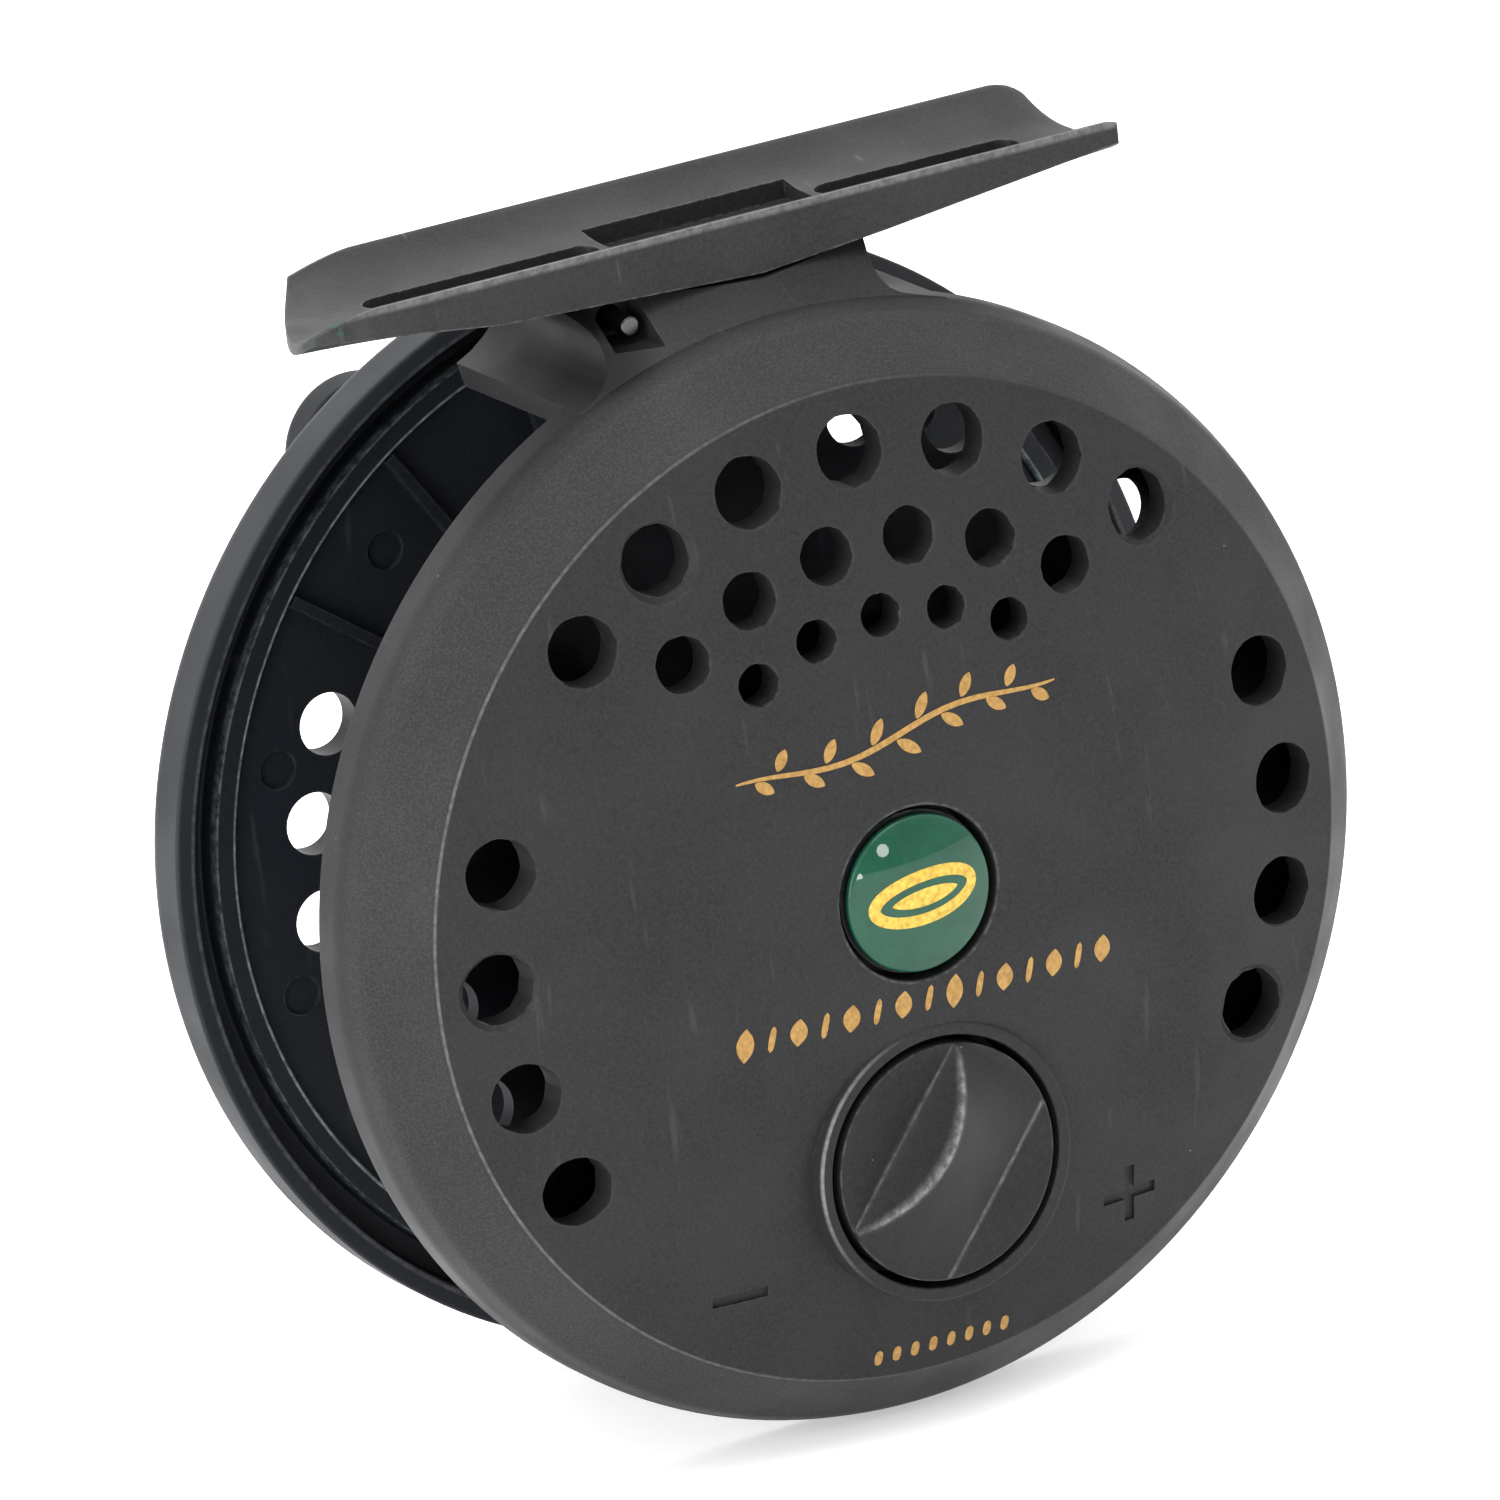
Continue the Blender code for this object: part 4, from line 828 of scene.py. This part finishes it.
def build_knob():
    """The knob: rows of points over its face, closer at the grip's crest, then its rim and back."""
    rows, top_r = 120, KNOB_R - 0.18
    bm = bmesh.new()
    grip_highlight = bm.verts.layers.float.new("grip_highlight")
    grid = []
    for row in range(rows + 1):
        v = -top_r * math.cos(math.pi * row / rows)
        edge = math.sqrt(max(0.0, top_r ** 2 - v ** 2))
        crest, tall = grip_crest(v)
        marks = [-edge + (edge - GRIP_TOE) * step / 12 for step in range(12)]
        marks += [-GRIP_TOE + (crest - 0.4 + GRIP_TOE) * step / 30 for step in range(30)]
        marks += [crest - 0.4 + 0.6 * step / 12 for step in range(12)]
        marks += [crest + 0.2 + (GRIP_CHORD - crest - 0.2) * step / 12 for step in range(12)]
        marks += [GRIP_CHORD + (edge - GRIP_CHORD) * step / 12 for step in range(13)]
        line = []
        for mark in marks:
            u = max(-edge, min(edge, mark))
            x, z = polar(1.0, GRIP_ANGLE)
            point = Vector((u * x - v * z, KNOB_FACE_Y - grip_height(u, v), u * z + v * x))
            vert = bm.verts.new(point * MM)
            # Where a highlight is painted on the grip: its crest, most where it is tallest, the toe line and
            # the chord line.
            on_crest = max(0.0, 1.0 - abs(u - crest + 0.08) / 0.36) * min(1.0, tall / 2.0)
            on_toe = 0.6 * max(0.0, 1.0 - abs(u + GRIP_TOE) / 0.22)
            vert[grip_highlight] = max(on_crest, on_toe, 0.25 * max(0.0, 1.0 - abs(u - GRIP_CHORD) / 0.15))
            line.append(vert)
        grid.append(line)
    for a, b in zip(grid, grid[1:]):
        for n in range(len(a) - 1):
            bm.faces.new((a[n], a[n + 1], b[n + 1], b[n]))
    bmesh.ops.remove_doubles(bm, verts=bm.verts[:], dist=2e-6)
    bmesh.ops.dissolve_degenerate(bm, edges=bm.edges[:], dist=2e-6)
    rim = [edge for edge in bm.edges if len(edge.link_faces) == 1]
    rings = ((KNOB_R - 0.04, KNOB_FACE_Y + 0.05), (KNOB_R, KNOB_FACE_Y + 0.2), (KNOB_R, KNOB_FLOOR_Y - 0.15),
             (KNOB_R - 0.15, KNOB_FLOOR_Y), (2.7, KNOB_FLOOR_Y), (2.7, -1.8))
    for radius, y in rings:
        grown = bmesh.ops.extrude_edge_only(bm, edges=rim)["geom"]
        rim = [item for item in grown if isinstance(item, bmesh.types.BMEdge)]
        for vert in {vert for edge in rim for vert in edge.verts}:
            out = Vector((vert.co.x, vert.co.z)).normalized() * radius
            vert.co = Vector((out.x, y, out.y)) * MM
            vert[grip_highlight] = 0.0
    bmesh.ops.holes_fill(bm, edges=rim)
    knob = solid("knob_body", bm, (0.0, 0.0, KNOB_Z))
    show(settle(knob, "knob_graphite"), "knob", "knob_graphite", "drag_knob")


# ---------------------------------------------------------------- spool and handle

def build_spool():
    """The spool with its ribs, holes and slots, the counterweight and the front cap."""
    back, front = SPOOL_BACK
    inner, outer = WEB
    corners = [(RIM_BORE_R, back, 0.1), (HUB_R, back, 0.2), (HUB_R, 29.4, 0.4), (CAVITY_R, 29.4, 0.4)]
    corners += [(CAVITY_R, back, 0.2), (SPOOL_BACK_R, back, 0.35), (SPOOL_BACK_R, front, 0.35)]
    corners += [(ARBOR_R, front, 1.2), (ARBOR_R, inner, 1.2), (34.8, inner, 0.1), (35.0, 30.35, 0.15)]
    corners += [(36.5, 30.35, 0.15), (36.7, 32.4, 0.2), (38.3, 32.4, 0.2), (38.5, 29.7, 0.2)]
    corners += [(SPOOL_R, 29.7, 0.3), (SPOOL_R, 33.2, 0.6), (39.3, 34.2, 0.6), (37.6, 34.4, 0.8)]
    corners += [(36.2, outer, 0.9), (11.0, outer, 0.3), (10.6, outer + 0.3, 0.15)]
    corners += [(RIM_BORE_R, outer + 0.3, 0.1)]
    spool = lathe("spool_body", eased(corners), turn=0.9)
    combine(spool, "DIFFERENCE", prism("drive_socket", arc(8.4, 0.0, 300.0, 5), back - 1.0, 11.8))
    pockets, holes = bmesh.new(), bmesh.new()
    for group in range(3):
        for angle in RIB_ANGLES:
            rib = block("rib", (25.6, 34.75), (inner - 0.7, inner + 0.5), (-0.4, 0.4), angle + 120.0 * group)
            combine(spool, "UNION", rib)
        for number in range(4):
            angle = WEB_HOLE_START + 120.0 * group + WEB_HOLE_PITCH * number
            x, z = polar(WEB_HOLE_CIRCLE, angle)
            frustum(holes, (x, inner - 1.5, z), (x, outer + 1.5, z), WEB_HOLE_R, WEB_HOLE_R, 40, slot=1)
            x, z = polar(BACK_HOLE_CIRCLE, angle)
            frustum(holes, (x, back - 1.0, z), (x, front + 1.0, z), BACK_HOLE_R, BACK_HOLE_R, 40, slot=1)
        for circle, angle in ((31.7, 164.3), (31.7, 194.6), (30.1, 132.4)):
            x, z = polar(circle, angle + 120.0 * group)
            frustum(pockets, (x, inner - 1.0, z), (x, inner + 0.25, z), 1.4, 1.4, 32)
    combine(spool, "DIFFERENCE", solid("spool_holes", holes), solid("ejector_marks", pockets))
    combine(spool, "DIFFERENCE", block("latch_slot", (-8.3, 14.4), (32.0, 35.0), (-4.0, 4.0)))
    combine(spool, "DIFFERENCE", rod("handle_hole", 2.1, 29.0, 35.0, polar(HANDLE_CIRCLE, HANDLE_ANGLE), 32))
    show(settle(spool, "graphite_dark", "hole_wall"), "spool", "graphite_dark", "spool")
    x, z = polar(WEIGHT_CIRCLE, WEIGHT_ANGLE)
    corners = [(0.0, 34.7, 0.0), (5.5, 34.7, 0.3), (5.5, 37.2, 0.5), (4.9, 38.0, 0.6), (2.5, 38.15, 0.5)]
    corners += [(0.0, 38.2, 0.0)]
    weight = lathe("counterweight_disc", eased(corners), 96, (x, 0.0, z))
    neck_x, neck_z = polar(WEIGHT_CIRCLE - 2.6, WEIGHT_ANGLE)
    combine(weight, "UNION", rod("weight_neck", 2.2, outer + 0.3, 35.4, (neck_x, neck_z), 40))
    show(settle(weight, "graphite_dark"), "spool", "graphite_dark", "counterweight")
    cap = [(0.0, 37.4, 0.0), (6.3, 37.3, 1.2), (8.2, 36.8, 0.6), (8.8, 35.8, 0.5), (8.8, 33.8, 0.2),
           (7.4, 33.8, 0.1), (7.4, 36.0, 0.2), (0.0, 36.0, 0.0)]
    show(settle(lathe("cap_shell", eased(cap), 120), "handle_black"), "spool", "handle_black", "latch_cap")


def build_handle():
    x, z = polar(HANDLE_CIRCLE, HANDLE_ANGLE)
    post = [(0.0, 30.1, 0.0), (2.9, 30.1, 0.3), (2.9, 30.7, 0.1), (1.75, 30.7, 0.1), (1.75, 33.5, 0.0),
            (3.6, 33.5, 0.15), (3.6, 34.3, 0.15), (1.75, 34.3, 0.1), (1.75, 50.3, 0.1), (2.9, 50.3, 0.1),
            (2.9, 50.9, 0.2), (2.3, 51.4, 0.3), (0.0, 51.4, 0.0)]
    show(settle(lathe("post_fine", eased(post), 64, (x, 0.0, z)), "steel"), "spool", "steel", "handle_post")
    low = 34.6
    grip = [(2.05, low, 0.15), (4.4, low, 0.2), (5.2, low + 0.8, 0.5), (5.3, low + 2.2, 1.0),
            (4.7, low + 4.6, 1.6), (4.6, low + 7.0, 1.6), (5.2, low + 9.8, 1.8), (6.1, low + 12.4, 1.4),
            (6.3, low + 13.8, 0.8), (5.9, low + 14.8, 0.7), (5.0, 50.0, 0.4), (2.05, 50.0, 0.15)]
    knob = settle(lathe("grip_fine", eased(grip, 6), 96, (x, 0.0, z)), "handle_black")
    show(knob, "handle", "handle_black", "handle_knob")


# ---------------------------------------------------------------- the rest of the frame, and the studio

def finish_cad_nodes():
    """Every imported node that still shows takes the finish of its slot."""
    for subpart in frame["record"]["subparts"]:
        shown = frame["nodes"][subpart["node"]]
        for slot in shown.material_slots:
            slot.material = FINISH[subpart["material_slot"]]


def build_floor():
    bm = bmesh.new()
    bmesh.ops.create_grid(bm, x_segments=24, y_segments=24, size=6.0)
    mesh = bpy.data.meshes.new("floor")
    bm.to_mesh(mesh)
    bm.free()
    floor = bpy.data.objects.new("floor", mesh)
    floor.location.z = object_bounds()[0].z - 0.0002
    SCENE.collection.objects.link(floor)
    matt = {"Roughness": 0.7, "Specular_IOR_Level": 0.2, "Emission_Strength": 0.42}
    made, tree, shader = new_finish("floor_white", **matt)
    shader.inputs["Emission Color"].default_value = WHITE
    shader.inputs["Base Color"].default_value = (0.88, 0.88, 0.88, 1.0)
    mesh.materials.append(made)


def build_world():
    """A white tent, paler above, with a dark opening in front of the reel; the camera sees plain white."""
    world = bpy.data.worlds.new("tent")
    SCENE.world = world
    world.use_nodes = True
    tree = world.node_tree
    tree.nodes.clear()
    way = node(tree, "ShaderNodeTexCoord").outputs["Generated"]
    opening = Vector((0.0, -0.99, 0.08)).normalized()
    dark = ranged(tree, alignment(tree, way, opening), 0.952, 0.96)
    parts = node(tree, "ShaderNodeSeparateXYZ", {0: way}).outputs
    rise = ranged(tree, parts["Z"], -0.4, 0.9, 0.58, 1.75)
    depth = ranged(tree, parts["Y"], -0.85, 0.3, 0.5, 1.5)
    strength = product(tree, rise, depth, ranged(tree, dark, 0.0, 1.0, 1.0, 0.06))
    tent = node(tree, "ShaderNodeBackground", {"Strength": strength})
    tent.inputs["Color"].default_value = WHITE
    plain = node(tree, "ShaderNodeBackground", {"Strength": 1.0})
    plain.inputs["Color"].default_value = WHITE
    seen = node(tree, "ShaderNodeLightPath").outputs["Is Camera Ray"]
    mixed = node(tree, "ShaderNodeMixShader", {0: seen, 1: tent.outputs[0], 2: plain.outputs[0]})
    node(tree, "ShaderNodeOutputWorld", {"Surface": mixed.outputs[0]})


def lamp(name, way, distance, size, power):
    """A round soft light on the side the way points to, facing the reel."""
    light = bpy.data.lights.new(name, "AREA")
    light.shape = "DISK"
    light.size = size
    light.energy = power
    carrier = bpy.data.objects.new(name, light)
    centre = AXIS + Vector((0.0, 5.0, 0.0)) * MM
    carrier.location = centre + Vector(way).normalized() * distance
    carrier.rotation_mode = "QUATERNION"
    carrier.rotation_quaternion = Vector(way).to_track_quat("Z", "Y")
    SCENE.collection.objects.link(carrier)


def build_camera():
    """A long lens from the front left and above, slightly rolled."""
    camera = bpy.data.cameras.new("camera")
    camera.lens, camera.sensor_width = LENS, SENSOR
    camera.clip_start, camera.clip_end = 0.05, 30.0
    carrier = bpy.data.objects.new("camera", camera)
    turn, drop, roll = (math.radians(angle) for angle in CAMERA_ANGLES)
    ahead = Vector((math.sin(turn) * math.cos(drop), math.cos(turn) * math.cos(drop), -math.sin(drop)))
    level = Vector((math.cos(turn), -math.sin(turn), 0.0))
    upright = level.cross(ahead)
    right = level * math.cos(roll) + upright * math.sin(roll)
    up = upright * math.cos(roll) - level * math.sin(roll)
    across, above = CAMERA_SHIFT
    carrier.location = AXIS + (up * above - right * across - ahead * CAMERA_DISTANCE) * MM
    carrier.rotation_mode = "QUATERNION"
    carrier.rotation_quaternion = Matrix((right, up, -ahead)).transposed().to_quaternion()
    SCENE.collection.objects.link(carrier)
    SCENE.camera = carrier


build_frame()
build_foot()
build_badge()
build_marks()
build_knob()
build_spool()
build_handle()
finish_cad_nodes()
for scrap in SCRATCH:
    bpy.data.objects.remove(scrap, do_unlink=True)
build_floor()
build_world()
lamp("left_box", (-0.95, -0.35, 0.15), 1.0, 0.8, 6.0)
lamp("top_box", (-0.1, -0.3, 1.0), 1.0, 0.7, 3.0)
lamp("front_lamp_1", (0.13, -0.98, 0.155), 1.2, 0.13, 0.9)
lamp("front_lamp_2", (-0.12, -0.99, -0.02), 1.2, 0.09, 0.5)
build_camera()
SCENE.view_settings.view_transform = "Standard"
